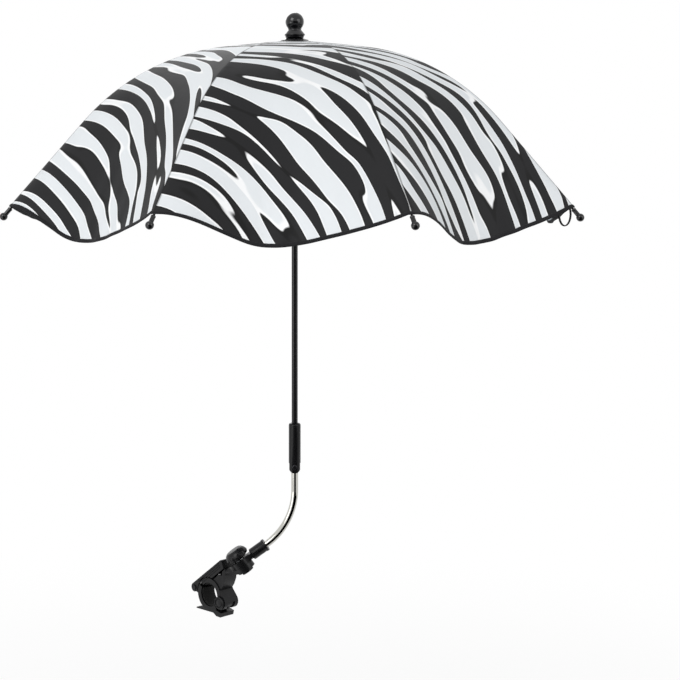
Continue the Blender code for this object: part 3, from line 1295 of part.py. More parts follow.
def build():
    """Model every piece of the parasol."""
    clear_scene()
    finishes = make_finishes()
    clamp = frame("clamp_frame", turn=Matrix.Rotation(CLAMP_TURN, 4, "Z"))
    jaw = frame("jaw_frame", (PIVOT_PLACE[0], 0, PIVOT_PLACE[1]), parent=clamp)
    lever_place = (LEVER_PIN_PLACE[0] - PIVOT_PLACE[0], 0, LEVER_PIN_PLACE[1] - PIVOT_PLACE[1])
    lever = frame("lever_frame", lever_place, parent=jaw)
    arm = frame("arm_frame", SWIVEL_PLACE, Matrix.Rotation(-ARM_RISE, 4, "Y"))
    knob = frame("knob_frame", parent=arm)
    stand = frame("stand_frame")
    tilt = frame("tilt_frame", (SHAFT_X, SHAFT_Y, TILT_Z))
    tilt_low = frame("tilt_low_frame", (SHAFT_X, SHAFT_Y, TILT_Z))
    shaft = frame("shaft_frame", (SHAFT_X, SHAFT_Y, 0))
    crown = frame("crown_frame", (0, 0, HINGE_Z), parent=shaft)
    canopy = frame("canopy_frame", (0, 0, CANOPY_TOP), parent=shaft)
    runner = frame("runner_frame", (0, 0, HINGE_Z - runner_drop()), parent=shaft)

    build_clamp(finishes, clamp, arm)
    build_jaw(finishes, jaw)
    build_lever(finishes, lever)
    build_lever_pin(finishes, jaw)
    build_swivel(finishes, arm, knob)
    build_arm(finishes, arm)
    build_tube(finishes, stand, arm)
    build_tilt(finishes, tilt_low, tilt)
    build_shaft(finishes, shaft)
    build_crown(finishes, crown)
    build_top(finishes, shaft)
    build_runner(finishes, runner)

    (pivot_r, pivot_z), _, _ = stretcher_pivot()
    for k, angle in enumerate(rib_angles()):
        number = k + 1
        place = (HINGE_RADIUS * cos(angle), HINGE_RADIUS * sin(angle), HINGE_Z)
        rib = frame(f"rib_frame_{number}", place, Matrix.Rotation(angle, 4, "Z"), shaft)
        knee = (pivot_r - HINGE_RADIUS, 0, pivot_z - HINGE_Z)
        hinge = frame(f"stretcher_frame_{number}", knee, parent=rib)
        build_rib(finishes, number, rib)
        build_stretcher(finishes, number, hinge)
        if number == 1:
            build_strap(finishes, rib)
        piece(f"canopy_panel_{number}", canopy_panel(k), finishes["cloth"], canopy)


build()
print_motion()
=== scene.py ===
"""Looks of a stroller parasol: printed canopy, tilting shaft, bent tube arm and lever clamp.

Every length is in metres. The shaft stands along +Z, and the camera looks along +Y.
"""

import json
import logging
from dataclasses import dataclass
from enum import Enum
from math import pi, radians
from typing import Any

import bmesh
import bpy
import numpy as np
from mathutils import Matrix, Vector

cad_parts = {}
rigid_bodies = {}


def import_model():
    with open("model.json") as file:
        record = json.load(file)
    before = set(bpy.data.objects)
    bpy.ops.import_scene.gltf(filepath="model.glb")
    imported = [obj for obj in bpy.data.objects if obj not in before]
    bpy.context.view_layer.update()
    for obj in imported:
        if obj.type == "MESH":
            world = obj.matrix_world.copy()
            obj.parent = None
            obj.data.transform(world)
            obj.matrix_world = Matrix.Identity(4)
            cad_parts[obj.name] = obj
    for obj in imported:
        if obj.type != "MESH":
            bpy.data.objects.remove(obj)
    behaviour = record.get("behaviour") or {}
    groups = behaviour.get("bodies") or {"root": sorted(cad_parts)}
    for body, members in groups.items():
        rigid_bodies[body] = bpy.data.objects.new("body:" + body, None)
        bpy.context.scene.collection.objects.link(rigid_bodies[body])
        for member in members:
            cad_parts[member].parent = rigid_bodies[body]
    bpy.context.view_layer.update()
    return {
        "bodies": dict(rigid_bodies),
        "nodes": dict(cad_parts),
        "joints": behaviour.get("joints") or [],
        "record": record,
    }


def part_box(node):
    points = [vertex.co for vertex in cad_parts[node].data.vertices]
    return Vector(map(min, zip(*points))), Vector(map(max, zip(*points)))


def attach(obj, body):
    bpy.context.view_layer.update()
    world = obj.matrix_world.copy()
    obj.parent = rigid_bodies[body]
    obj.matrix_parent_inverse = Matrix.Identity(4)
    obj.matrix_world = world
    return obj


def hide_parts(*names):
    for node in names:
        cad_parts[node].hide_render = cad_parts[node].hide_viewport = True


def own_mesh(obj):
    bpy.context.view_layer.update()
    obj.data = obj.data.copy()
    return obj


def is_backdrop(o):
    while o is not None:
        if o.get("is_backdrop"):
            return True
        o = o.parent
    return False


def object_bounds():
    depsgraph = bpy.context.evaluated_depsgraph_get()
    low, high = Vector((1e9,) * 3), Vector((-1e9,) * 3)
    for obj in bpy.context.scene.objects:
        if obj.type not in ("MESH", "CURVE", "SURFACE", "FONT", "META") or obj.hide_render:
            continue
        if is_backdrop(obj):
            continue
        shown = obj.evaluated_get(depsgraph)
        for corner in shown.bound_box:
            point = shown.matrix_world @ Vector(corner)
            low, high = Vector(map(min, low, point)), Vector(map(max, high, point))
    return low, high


LOG = logging.getLogger("parasol")
MILLIMETRE = 0.001

Triple = tuple[float, float, float]
Tree = bpy.types.NodeTree
Socket = bpy.types.NodeSocket


def linear(code: str) -> tuple[float, float, float, float]:
    """Turn an sRGB hex colour to linear light.

    Args:
        code: Six hex digits, with or without a leading #.

    Returns:
        Red, green, blue and an alpha of 1.
    """
    digits = code.lstrip("#")
    parts = np.array([int(digits[i:i + 2], 16) for i in (0, 2, 4)]) / 255.0
    light = np.where(parts <= 0.04045, parts / 12.92, ((parts + 0.055) / 1.055) ** 2.4)
    return (*light.tolist(), 1.0)


def add_node(
    tree: Tree,
    kind: str,
    settings: dict[str, Any] | None = None,
    inputs: dict[Any, Any] | None = None,
) -> bpy.types.Node:
    """Add a node, set its properties, and fill or link its inputs.

    Args:
        tree: Node tree that gets the node.
        kind: Blender's type name of the node.
        settings: Properties of the node by name.
        inputs: Values or output sockets by the input's name or number.

    Returns:
        The new node.
    """
    node = tree.nodes.new(kind)
    for key, value in (settings or {}).items():
        setattr(node, key, value)
    for key, value in (inputs or {}).items():
        if isinstance(value, Socket):
            tree.links.new(value, node.inputs[key])
        else:
            node.inputs[key].default_value = value
    return node


def maths(tree: Tree, operation: str, *values: Any) -> Socket:
    """Add a math node.

    Args:
        tree: Node tree that gets the node.
        operation: Blender's name of the operation.
        values: Numbers or sockets, in the order of the node's inputs.

    Returns:
        The result's socket.
    """
    inputs = dict(enumerate(values))
    return add_node(tree, "ShaderNodeMath", {"operation": operation}, inputs).outputs[0]


def blend(tree: Tree, share: Any, first: Any, second: Any, how: str = "MIX") -> Socket:
    """Mix two colours.

    Args:
        tree: Node tree that gets the node.
        share: How much of the second colour shows, 0 to 1.
        first: A colour or its socket.
        second: A colour or its socket.
        how: Blender's name of the blend.

    Returns:
        The mixed colour's socket.
    """
    settings = {"data_type": "RGBA", "blend_type": how}
    return add_node(tree, "ShaderNodeMix", settings, {"Factor": share, 6: first, 7: second}).outputs[2]


def remap(
    tree: Tree,
    value: Any,
    source: tuple[float, float],
    target: tuple[float, float] = (0.0, 1.0),
    smooth: bool = False,
) -> Socket:
    """Carry a value from one range to another, and hold it at the ends.

    Args:
        tree: Node tree that gets the node.
        value: The value's socket.
        source: Range that the value comes from.
        target: Range that it goes to.
        smooth: Whether it eases in and out at the ends.

    Returns:
        The new value's socket.
    """
    settings = {"interpolation_type": "SMOOTHSTEP" if smooth else "LINEAR"}
    inputs = {"Value": value, "From Min": source[0], "From Max": source[1]}
    inputs |= {"To Min": target[0], "To Max": target[1]}
    return add_node(tree, "ShaderNodeMapRange", settings, inputs).outputs[0]


def linked(name: str, data: bpy.types.ID) -> bpy.types.Object:
    """Make an object and link it to the scene.

    Args:
        name: Name of the object.
        data: Its mesh, light or camera.

    Returns:
        The object.
    """
    obj = bpy.data.objects.new(name, data)
    bpy.context.scene.collection.objects.link(obj)
    return obj


def blank_material(name: str) -> tuple[bpy.types.Material, Tree, bpy.types.Node]:
    """Make a material that holds one Principled shader.

    Args:
        name: Name of the material.

    Returns:
        The material, its node tree and its shader.
    """
    material = bpy.data.materials.new(name)
    material.use_nodes = True
    return material, material.node_tree, material.node_tree.nodes["Principled BSDF"]


class Grain(Enum):
    """How a surface was made, which decides the direction of its fine marks."""

    MOULDED = (1.0, 1.0, 1.0)
    DRAWN = (1.0, 1.0, 0.06)


@dataclass(frozen=True)
class SolidFinish:
    """A plastic, rubber or metal of one colour, with fine marks and worn patches.

    The colour drifts between two near tones over some centimetres, and the
    roughness drifts with it, so that a large face never looks flat.
    """

    name: str
    colour: str
    second_colour: str
    roughness: float
    metallic: float = 0.0
    grain: Grain = Grain.MOULDED
    grain_size: float = 0.6 * MILLIMETRE
    grain_depth: float = 0.02 * MILLIMETRE
    coat: float = 0.0
    shine: float = 0.5

    def make(self) -> bpy.types.Material:
        """Build the finish's material.

        Returns:
            The material.
        """
        material, tree, shader = blank_material(self.name)
        place = add_node(tree, "ShaderNodeTexCoord").outputs["Object"]
        drift = add_node(
            tree,
            "ShaderNodeTexNoise",
            inputs={"Vector": place, "Scale": 1.0 / 0.045, "Detail": 3.0},
        ).outputs["Fac"]
        tone = blend(tree, drift, linear(self.colour), linear(self.second_colour))
        rough = remap(tree, drift, (0.3, 0.7), (self.roughness * 0.88, min(1.0, self.roughness * 1.12)))
        stretched = add_node(
            tree,
            "ShaderNodeMapping",
            inputs={"Vector": place, "Scale": self.grain.value},
        )
        marks = add_node(
            tree,
            "ShaderNodeTexNoise",
            inputs={"Vector": stretched.outputs[0], "Scale": 1.0 / self.grain_size, "Detail": 2.0},
        )
        bump = add_node(
            tree,
            "ShaderNodeBump",
            inputs={"Height": marks.outputs["Fac"], "Distance": self.grain_depth, "Strength": 0.6},
        )
        tree.links.new(tone, shader.inputs["Base Color"])
        tree.links.new(rough, shader.inputs["Roughness"])
        tree.links.new(bump.outputs[0], shader.inputs["Normal"])
        shader.inputs["Metallic"].default_value = self.metallic
        shader.inputs["Coat Weight"].default_value = self.coat
        shader.inputs["Coat Roughness"].default_value = 0.08
        shader.inputs["Specular IOR Level"].default_value = self.shine
        return material


@dataclass(frozen=True)
class WovenFinish:
    """Plain woven tape or webbing, whose threads cross along the piece's own UV map."""

    name: str
    colour: str
    thread: float
    roughness: float = 0.86

    def make(self) -> bpy.types.Material:
        """Build the finish's material.

        Returns:
            The material.
        """
        material, tree, shader = blank_material(self.name)
        place = add_node(tree, "ShaderNodeUVMap", {"uv_map": "place"}).outputs[0]
        weave = thread_height(tree, place, self.thread)
        dark = linear(self.colour)
        light = tuple(min(1.0, value * 2.6) for value in dark[:3]) + (1.0,)
        tone = blend(tree, weave, dark, light)
        bump = add_node(
            tree,
            "ShaderNodeBump",
            inputs={"Height": weave, "Distance": 0.12 * MILLIMETRE, "Strength": 0.8},
        )
        tree.links.new(tone, shader.inputs["Base Color"])
        tree.links.new(bump.outputs[0], shader.inputs["Normal"])
        shader.inputs["Roughness"].default_value = self.roughness
        shader.inputs["Sheen Weight"].default_value = 0.05
        shader.inputs["Specular IOR Level"].default_value = 0.25
        return material


def thread_height(tree: Tree, place: Socket, thread: float) -> Socket:
    """Height of a plain weave: the product of two sines, one across each thread.

    Args:
        tree: Node tree that gets the nodes.
        place: Coordinates on the cloth in metres.
        thread: Distance from one thread to the next.

    Returns:
        A value from 0 to 1.
    """
    parts = add_node(tree, "ShaderNodeSeparateXYZ", inputs={0: place})
    waves = []
    for axis in (0, 1):
        angle = maths(tree, "MULTIPLY", parts.outputs[axis], pi / thread)
        waves.append(maths(tree, "SINE", angle))
    return remap(tree, maths(tree, "MULTIPLY", *waves), (-1.0, 1.0))


@dataclass(frozen=True)
class ZebraCloth:
    """White polyester printed with long dark stripes that taper and fork.

    The UV map "flow" runs along the stripes in its first part and across them
    in its second, both in metres. Two sines across the stripes, of unlike
    period and at a small angle to each other, meet and part, which gives the
    pointed ends and forks. A slow noise bends them, and a noise stretched
    along them widens them. The dark part is where their sum is above nought.
    """

    name: str = "printed_polyester_zebra"
    white: str = "#E0E4E7"
    white_rim: str = "#F4F5F6"
    dark_rim: str = "#080809"
    dark: str = "#18181A"
    periods: tuple[float, float] = (28.0 * MILLIMETRE, 17.0 * MILLIMETRE)
    slants: tuple[float, float] = (0.0, 0.07)
    weights: tuple[float, float] = (1.0, 0.30)
    bend: float = 14.0 * MILLIMETRE
    swell: float = 1.45
    thread: float = 0.9 * MILLIMETRE

    @staticmethod
    def stretched(tree: Tree, flow: Socket, scale: Triple, reach: float) -> Socket:
        """Noise on stretched coordinates, from -reach to reach.

        Args:
            tree: Node tree that gets the nodes.
            flow: Coordinates along and across the stripes.
            scale: How many features a metre holds along and across.
            reach: Half of the noise's span.

        Returns:
            The noise's socket.
        """
        place = add_node(tree, "ShaderNodeMapping", inputs={"Vector": flow, "Scale": scale})
        noise = add_node(
            tree,
            "ShaderNodeTexNoise",
            inputs={"Vector": place.outputs[0], "Scale": 1.0, "Detail": 1.2},
        )
        return remap(tree, noise.outputs["Fac"], (0.28, 0.72), (-reach, reach))

    def stripes(self, tree: Tree) -> Socket:
        """Sum of the sines and the stretched noise, about -2 to 2.

        Args:
            tree: Node tree that gets the nodes.

        Returns:
            The sum's socket.
        """
        flow = add_node(tree, "ShaderNodeUVMap", {"uv_map": "flow"}).outputs[0]
        parts = add_node(tree, "ShaderNodeSeparateXYZ", inputs={0: flow})
        shift = self.stretched(tree, flow, (5.5, 9.0, 1.0), self.bend)
        moved = maths(tree, "ADD", parts.outputs[1], shift)
        total = self.stretched(tree, flow, (8.0, 31.0, 1.0), self.swell)
        for period, slant, weight in zip(self.periods, self.slants, self.weights):
            slanted = maths(tree, "MULTIPLY_ADD", parts.outputs[0], slant, moved)
            wave = maths(tree, "SINE", maths(tree, "MULTIPLY", slanted, 2 * pi / period))
            total = maths(tree, "MULTIPLY_ADD", wave, weight, total)
        return total

    def make(self) -> bpy.types.Material:
        """Build the printed side.

        Returns:
            The material.
        """
        material, tree, shader = blank_material(self.name)
        total = self.stripes(tree)
        printed = linear(self.white)
        steps = ((-0.42, -0.20, self.white_rim), (-0.05, 0.05, self.dark_rim), (0.20, 0.50, self.dark))
        for low, high, colour in steps:
            step = remap(tree, total, (low, high), smooth=True)
            printed = blend(tree, step, printed, linear(colour))
        place = add_node(tree, "ShaderNodeUVMap", {"uv_map": "place"}).outputs[0]
        beside = add_node(tree, "ShaderNodeSeparateXYZ", inputs={0: place}).outputs[0]
        # Painted shade along the seam over each rib: the print is multiplied down to 0.45 at the rib line and
        # back to full 1.6 mm away, standing for the seam's shadow as well as its stitching.
        seam_shade = remap(tree, beside, (0.5 * MILLIMETRE, 1.6 * MILLIMETRE), (0.45, 1.0))
        shaded = blend(tree, 1.0, printed, seam_shade, "MULTIPLY")
        weave = add_node(
            tree,
            "ShaderNodeBump",
            inputs={
                "Height": thread_height(tree, place, self.thread),
                "Distance": 0.05 * MILLIMETRE,
                "Strength": 0.5,
            },
        )
        creases = add_node(
            tree,
            "ShaderNodeTexNoise",
            inputs={"Vector": place, "Scale": 26.0, "Detail": 3.0},
        )
        bump = add_node(
            tree,
            "ShaderNodeBump",
            inputs={
                "Height": creases.outputs["Fac"],
                "Distance": 1.2 * MILLIMETRE,
                "Strength": 0.35,
                "Normal": weave.outputs[0],
            },
        )
        tree.links.new(shaded, shader.inputs["Base Color"])
        tree.links.new(bump.outputs[0], shader.inputs["Normal"])
        shader.inputs["Roughness"].default_value = 0.62
        shader.inputs["Sheen Weight"].default_value = 0.03
        shader.inputs["Specular IOR Level"].default_value = 0.22
        return material


class Finishes:
    """Every finish of the parasol, made once."""

    def __init__(self) -> None:
        """Make the materials."""
        # Glass-filled nylon from the mould: dark, satin, with a fine spark texture.
        self.nylon = SolidFinish("moulded_nylon_satin", "#0B0B0C", "#121214", 0.32, shine=0.24).make()
        # Injection-moulded ABS from a polished tool: near black and glossy.
        self.abs = SolidFinish(
            "polished_abs_black",
            "#09090B",
            "#0E0E10",
            0.13,
            grain_depth=0.004 * MILLIMETRE,
            coat=0.15,
            shine=0.40,
        ).make()
        # Moulded rubber: matte, with a dusty second tone.
        self.rubber = SolidFinish("moulded_rubber", "#1A1A1A", "#232323", 0.85, shine=0.25).make()
        # Stainless tube, drawn and polished: mirror bright with faint lines along it.
        self.chrome = SolidFinish(
            "polished_stainless_tube",
            "#C9C8C2",
            "#BBBAB4",
            0.06,
            1.0,
            Grain.DRAWN,
            0.4 * MILLIMETRE,
            0.003 * MILLIMETRE,
        ).make()
        # Zinc plate over steel: dull silver with a fine cloudy grain.
        self.zinc = SolidFinish("zinc_plated_steel", "#B4B6B8", "#A3A6AA", 0.36, 1.0).make()
        # Blackened steel of the pins whose ends show: dark, half dull.
        self.blackened = SolidFinish("blackened_steel", "#3A3A3C", "#303033", 0.42, 1.0).make()
        # Painted steel: smooth black with a slight orange peel.
        self.paint = SolidFinish(
            "painted_steel_black", "#0B0B0D", "#101012", 0.24, grain_size=1.2 * MILLIMETRE, shine=0.35
        ).make()
        # Bias tape folded over the hem, with threads at 0.7 mm, coarser than real, so that they show.
        self.tape = WovenFinish("woven_hem_tape", "#111113", 0.7 * MILLIMETRE).make()
        # Polyester webbing, with threads drawn at 0.8 mm.
        self.webbing = WovenFinish("woven_webbing", "#0E0E10", 0.8 * MILLIMETRE).make()
        self.print = ZebraCloth().make()
        # Inside of the canopy: pale silver-grey coated polyester.
        self.lining = WovenFinish("coated_polyester_lining", "#7C8186", 0.9 * MILLIMETRE, 0.55).make()


def grid_faces(rows: int, columns: int, wrap: bool) -> np.ndarray:
    """Corner numbers of the quads of a grid whose points are stored row by row.

    Args:
        rows: Number of rows of points.
        columns: Number of points in a row.
        wrap: Whether the last column joins the first.

    Returns:
        An array of shape (faces, 4).
    """
    span = columns if wrap else columns - 1
    i, j = np.meshgrid(np.arange(rows - 1), np.arange(span), indexing="ij")
    k = (j + 1) % columns
    quads = [i * columns + j, i * columns + k, (i + 1) * columns + k, (i + 1) * columns + j]
    return np.stack(quads, axis=-1).reshape(-1, 4)


def keep_rims_sharp(data: bpy.types.Mesh) -> None:
    """Mark a mesh's open edges as sharp, so that a rim added later doesn't tilt the normals beside it.

    Args:
        data: The mesh, with its other sharp edges marked already.
    """
    used = np.empty(len(data.loops), dtype=np.int32)
    data.loops.foreach_get("edge_index", used)
    uses = np.bincount(used, minlength=len(data.edges))
    sharp = np.empty(len(data.edges), dtype=bool)
    data.edges.foreach_get("use_edge_sharp", sharp)
    data.edges.foreach_set("use_edge_sharp", sharp | (uses == 1))


def surface(
    name: str,
    grid: np.ndarray,
    wrap: bool = False,
    maps: dict[str, np.ndarray] | None = None,
    sharp: float = 40.0,
) -> bpy.types.Object:
    """Make an object from a grid of points, with its poles closed and its faces outward.

    Args:
        name: Name of the object.
        grid: Points of shape (rows, columns, 3).
        wrap: Whether each row is a closed ring.
        maps: UV maps as one value pair for each face corner, in the order of the faces.
        sharp: Angle in degrees past which an edge stays sharp.

    Returns:
        The object, linked to the scene.
    """
    rows, columns = grid.shape[:2]
    faces = grid_faces(rows, columns, wrap)
    data = bpy.data.meshes.new(name)
    data.from_pydata(grid.reshape(-1, 3).tolist(), [], faces.tolist())
    for label, values in (maps or {}).items():
        layer = data.uv_layers.new(name=label)
        layer.data.foreach_set("uv", np.ascontiguousarray(values, dtype=np.float32).ravel())
    mesh = bmesh.new()
    mesh.from_mesh(data)
    bmesh.ops.remove_doubles(mesh, verts=mesh.verts, dist=1e-6)
    bmesh.ops.dissolve_degenerate(mesh, edges=mesh.edges, dist=1e-7)
    bmesh.ops.recalc_face_normals(mesh, faces=mesh.faces)
    mesh.to_mesh(data)
    mesh.free()
    data.shade_smooth()
    data.set_sharp_from_angle(angle=radians(sharp))
    keep_rims_sharp(data)
    return linked(name, data)


def rounded(profile: list[tuple[float, float]], radius: float, steps: int = 4) -> np.ndarray:
    """Round the inner corners of an open profile with short parabolas.

    Args:
        profile: Corner points in order.
        radius: How far from a corner its curve starts, at most.
        steps: Points on each curve.

    Returns:
        The new profile of shape (points, 2).
    """
    corners = np.array(profile, dtype=float)
    before = corners[:-2] - corners[1:-1]
    after = corners[2:] - corners[1:-1]
    lengths = np.stack([np.linalg.norm(before, axis=1), np.linalg.norm(after, axis=1)])
    reach = np.minimum(radius, 0.45 * lengths.min(axis=0))[:, None]
    start = corners[1:-1] + before / lengths[0][:, None] * reach
    end = corners[1:-1] + after / lengths[1][:, None] * reach
    t = np.linspace(0.0, 1.0, steps)[None, :, None]
    curve = (1 - t) ** 2 * start[:, None] + 2 * t * (1 - t) * corners[1:-1][:, None] + t**2 * end[:, None]
    return np.vstack([corners[:1], curve.reshape(-1, 2), corners[-1:]])


def revolve(profile: np.ndarray, steps: int = 48) -> np.ndarray:
    """Turn an (r, z) profile about Z: x = r cos a, y = r sin a.

    Args:
        profile: Points of shape (points, 2).
        steps: Points round the ring.

    Returns:
        A grid of shape (points, steps, 3).
    """
    angle = np.linspace(0.0, 2 * pi, steps, endpoint=False)
    r, z = profile[:, 0, None], profile[:, 1, None]
    return np.stack([r * np.cos(angle), r * np.sin(angle), z + 0 * angle], axis=-1)


def placed(grid: np.ndarray, place: Triple, axis: Triple) -> np.ndarray:
    """Carry a grid drawn about Z to a place, with its Z along an axis.

    Args:
        grid: Points of shape (rows, columns, 3).
        place: Where the drawing's origin goes.
        axis: Direction that the drawing's Z takes.

    Returns:
        The moved grid.
    """
    turn = np.array(Vector((0, 0, 1)).rotation_difference(Vector(axis)).to_matrix())
    return grid @ turn.T + np.array(place)


def tube_grid(path: np.ndarray, radius: np.ndarray, steps: int = 32) -> np.ndarray:
    """Carry a circle along a path that lies in a plane of constant Y.

    The circle's two axes are Y and the path's normal in its plane. The ends
    are closed by a ring of no radius.

    Args:
        path: Points of shape (points, 3).
        radius: Radius at each point.
        steps: Points round the circle.

    Returns:
        A grid of shape (points + 2, steps, 3).
    """
    path = np.vstack([path[:1], path, path[-1:]])
    radius = np.concatenate([[0.0], radius, [0.0]])
    tangent = np.gradient(path[1:-1], axis=0)
    tangent /= np.linalg.norm(tangent, axis=1)[:, None]
    tangent = np.vstack([tangent[:1], tangent, tangent[-1:]])
    side = np.array([0.0, 1.0, 0.0])
    normal = np.cross(tangent, side)
    angle = np.linspace(0.0, 2 * pi, steps, endpoint=False)
    ring = np.cos(angle)[None, :, None] * side + np.sin(angle)[None, :, None] * normal[:, None]
    return path[:, None] + radius[:, None, None] * ring


@dataclass
class Workshop:
    """The loaded frame and the finishes that every sub-assembly uses."""

    frame: dict[str, Any]
    finishes: Finishes

    def body_of(self, node: str) -> str:
        """Name of the body that holds a node."""
        bodies = self.frame["record"]["behaviour"]["bodies"]
        return next(name for name, nodes in bodies.items() if node in nodes)

    def dress(
        self,
        obj: bpy.types.Object,
        finish: bpy.types.Material,
        slot: str,
        *nodes: str,
        body: str = "",
    ) -> None:
        """Give a piece its finish, its body and the nodes it stands for.

        Args:
            obj: The piece.
            finish: Its material.
            slot: The record's material slot; not used.
            nodes: Nodes that it replaces.
            body: Body it rides on, where it replaces no node.
        """
        if not obj.data.materials:
            obj.data.materials.append(finish)
        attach(obj, body or self.body_of(nodes[0]))
        if nodes:
            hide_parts(*nodes)
        LOG.info("%s rides on %s", obj.name, body or self.body_of(nodes[0]))

    def refine(self, node: str, finish: bpy.types.Material, slot: str, edge: float) -> bpy.types.Object:
        """Copy a node's solid, merge its triangles and soften its edges.

        Args:
            node: The node to stand for.
            finish: Its material.
            slot: The record's material slot.
            edge: Width of the softened edge.

        Returns:
            The new piece.
        """
        data = self.frame["nodes"][node].data.copy()
        data.name = f"{node}_softened"
        data.materials.clear()
        mesh = bmesh.new()
        mesh.from_mesh(data)
        bmesh.ops.remove_doubles(mesh, verts=mesh.verts, dist=2e-6)
        bmesh.ops.dissolve_limit(mesh, angle_limit=radians(0.8), verts=mesh.verts, edges=mesh.edges)
        mesh.to_mesh(data)
        mesh.free()
        data.shade_smooth()
        data.set_sharp_from_angle(angle=radians(34))
        obj = linked(f"{node}_softened", data)
        if edge > 0:
            bevel = obj.modifiers.new("softened_edges", "BEVEL")
            bevel.width = edge
            bevel.segments = 2
            bevel.limit_method = "ANGLE"
            bevel.angle_limit = radians(34)
        self.dress(obj, finish, slot, node)
        return obj


@dataclass
class Canopy:
    """Eight cloth pieces, each centred on a rib, with the hem's tape.

    The profile over a rib is a flat cone, an arc and a straight edge. From rib
    to rib the cloth lies on a chord, and near the hem it hangs in lobes.
    """

    workshop: Workshop
    shaft: tuple[float, float] = (0.108402, -0.034)
    top: float = 0.7502
    crown_slope: float = radians(6.5)
    edge_slope: float = radians(48)
    bend_start: float = 0.095
    bend_radius: float = 0.2985
    hem_radius: float = 0.378
    start_radius: float = 0.013
    lobe_drop: float = 0.0415
    lobe_pull: float = -0.60
    hang_start: float = 0.45
    first_rib: float = radians(-24.75)
    ribs: int = 8
    rows: int = 64
    columns: int = 26
    ripple_height: float = 0.0011
    ripple_count: float = 7.5
    cloth_thickness: float = 0.0005
    tape_width: float = 0.0050
    tape_half_thickness: float = 0.0010
    tape_lift: float = 0.38
    tape_guide: float = 0.985
    tape_steps: int = 12
    folded_share: float = 0.22
    lobes: tuple[Triple, ...] = (
        (0.61, 0.06, 0.98),
        (0.58, 0.05, 0.94),
        (0.66, 0.05, 1.00),
        (0.55, 0.06, 0.62),
        (0.52, 0.05, 0.60),
        (0.57, 0.04, 0.58),
        (0.54, 0.06, 0.60),
        (0.58, 0.05, 0.62),
    )
    # Turn in degrees, bend, twist and shift of the stripes on each panel, so that no two are alike.
    cuts: tuple[tuple[float, float, float, float], ...] = (
        (62.0, 1.9, 0.6, 0.0),
        (34.0, 2.1, 0.5, 1.3),
        (33.0, 1.2, 1.3, 2.9),
        (24.0, 1.4, 0.8, 4.1),
        (-38.0, 1.2, 0.5, 5.7),
        (52.0, -1.0, 0.6, 7.2),
        (8.0, 1.8, 0.5, 8.4),
        (60.0, 1.2, 0.4, 9.9),
    )
    print_centre: float = 0.27

    @property
    def half(self) -> float:
        """Half of the plan angle between two ribs."""
        return pi / self.ribs

    def profile(self, radius: np.ndarray) -> tuple[np.ndarray, np.ndarray, np.ndarray]:
        """Drop, slope and length along the profile at radii from the shaft.

        Args:
            radius: Distances from the shaft's axis.

        Returns:
            Drop below the apex, slope, and arc length from the apex.
        """
        start_drop = self.bend_start * np.tan(self.crown_slope)
        start_length = self.bend_start / np.cos(self.crown_slope)
        end = self.bend_start + self.bend_radius * (np.sin(self.edge_slope) - np.sin(self.crown_slope))
        bent = np.sin(self.crown_slope) + (radius - self.bend_start) / self.bend_radius
        slope = np.arcsin(np.clip(bent, np.sin(self.crown_slope), np.sin(self.edge_slope)))
        arc_drop = start_drop + self.bend_radius * (np.cos(self.crown_slope) - np.cos(slope))
        arc_length = start_length + self.bend_radius * (slope - self.crown_slope)
        beyond = np.maximum(radius - end, 0.0)
        flat = radius < self.bend_start
        flat_drop = radius * np.tan(self.crown_slope)
        flat_length = radius / np.cos(self.crown_slope)
        drop = np.where(flat, flat_drop, arc_drop + beyond * np.tan(self.edge_slope))
        length = np.where(flat, flat_length, arc_length + beyond / np.cos(self.edge_slope))
        return drop, slope, length

    def lobe(self, share: np.ndarray, deepest: float, notch: float) -> np.ndarray:
        """Shape of a hanging hem: a rising sine, then a falling squared cosine.

        Args:
            share: Place from the panel's first rib (0) to its second (1).
            deepest: Share at which it hangs lowest.
            notch: How far a fold lifts it.

        Returns:
            0 at the ribs and 1 at the lowest place.
        """
        share = np.clip((share - 0.015) / 0.97, 0.0, 1.0)
        rise = np.sin(pi / 2 * np.clip(share / deepest, 0, 1)) ** 0.85
        fall = np.clip(np.cos(pi / 2 * np.clip((share - deepest) / (1 - deepest), 0, 1)), 0, 1) ** 2
        return np.where(share < deepest, rise, fall) * (1 - notch * (0.5 - 0.5 * np.cos(4 * pi * share)))

    def points(self, row: np.ndarray, offset: np.ndarray, rib: int, side: int) -> np.ndarray:
        """Points of the cloth.

        Args:
            row: 0 at the crown to 1 at the hem.
            offset: Plan angle from the rib in half panels, -1 to 1.
            rib: Number of the rib from 0.
            side: -1 where the offset is below 0, and 1 elsewhere.

        Returns:
            Points with the shape of row, and 3.
        """
        radius = self.start_radius + (self.hem_radius - self.start_radius) * row
        drop, _, _ = self.profile(radius)
        radius = radius * np.cos(self.half) / np.cos(self.half * (1 - np.abs(offset)))
        panel = rib if side < 0 else rib - 1
        share = -offset / 2 if side < 0 else 1 - offset / 2
        deepest, notch, amount = self.lobes[panel % self.ribs]
        start = np.maximum(0.0, (row - self.hang_start) / (1 - self.hang_start))
        hang = self.lobe_drop * amount * self.lobe(share, deepest, notch) * start**2.2
        wave = np.sin(2 * pi * (share * self.ripple_count + panel * 0.37))
        ripple = self.ripple_height * wave * np.sin(pi * share) ** 2 * start**5
        radius = radius + self.lobe_pull * hang + ripple
        angle = self.first_rib - rib * 2 * self.half + offset * self.half
        x = self.shaft[0] + radius * np.cos(angle)
        y = self.shaft[1] + radius * np.sin(angle)
        return np.stack([x, y, self.top - drop - hang], axis=-1)

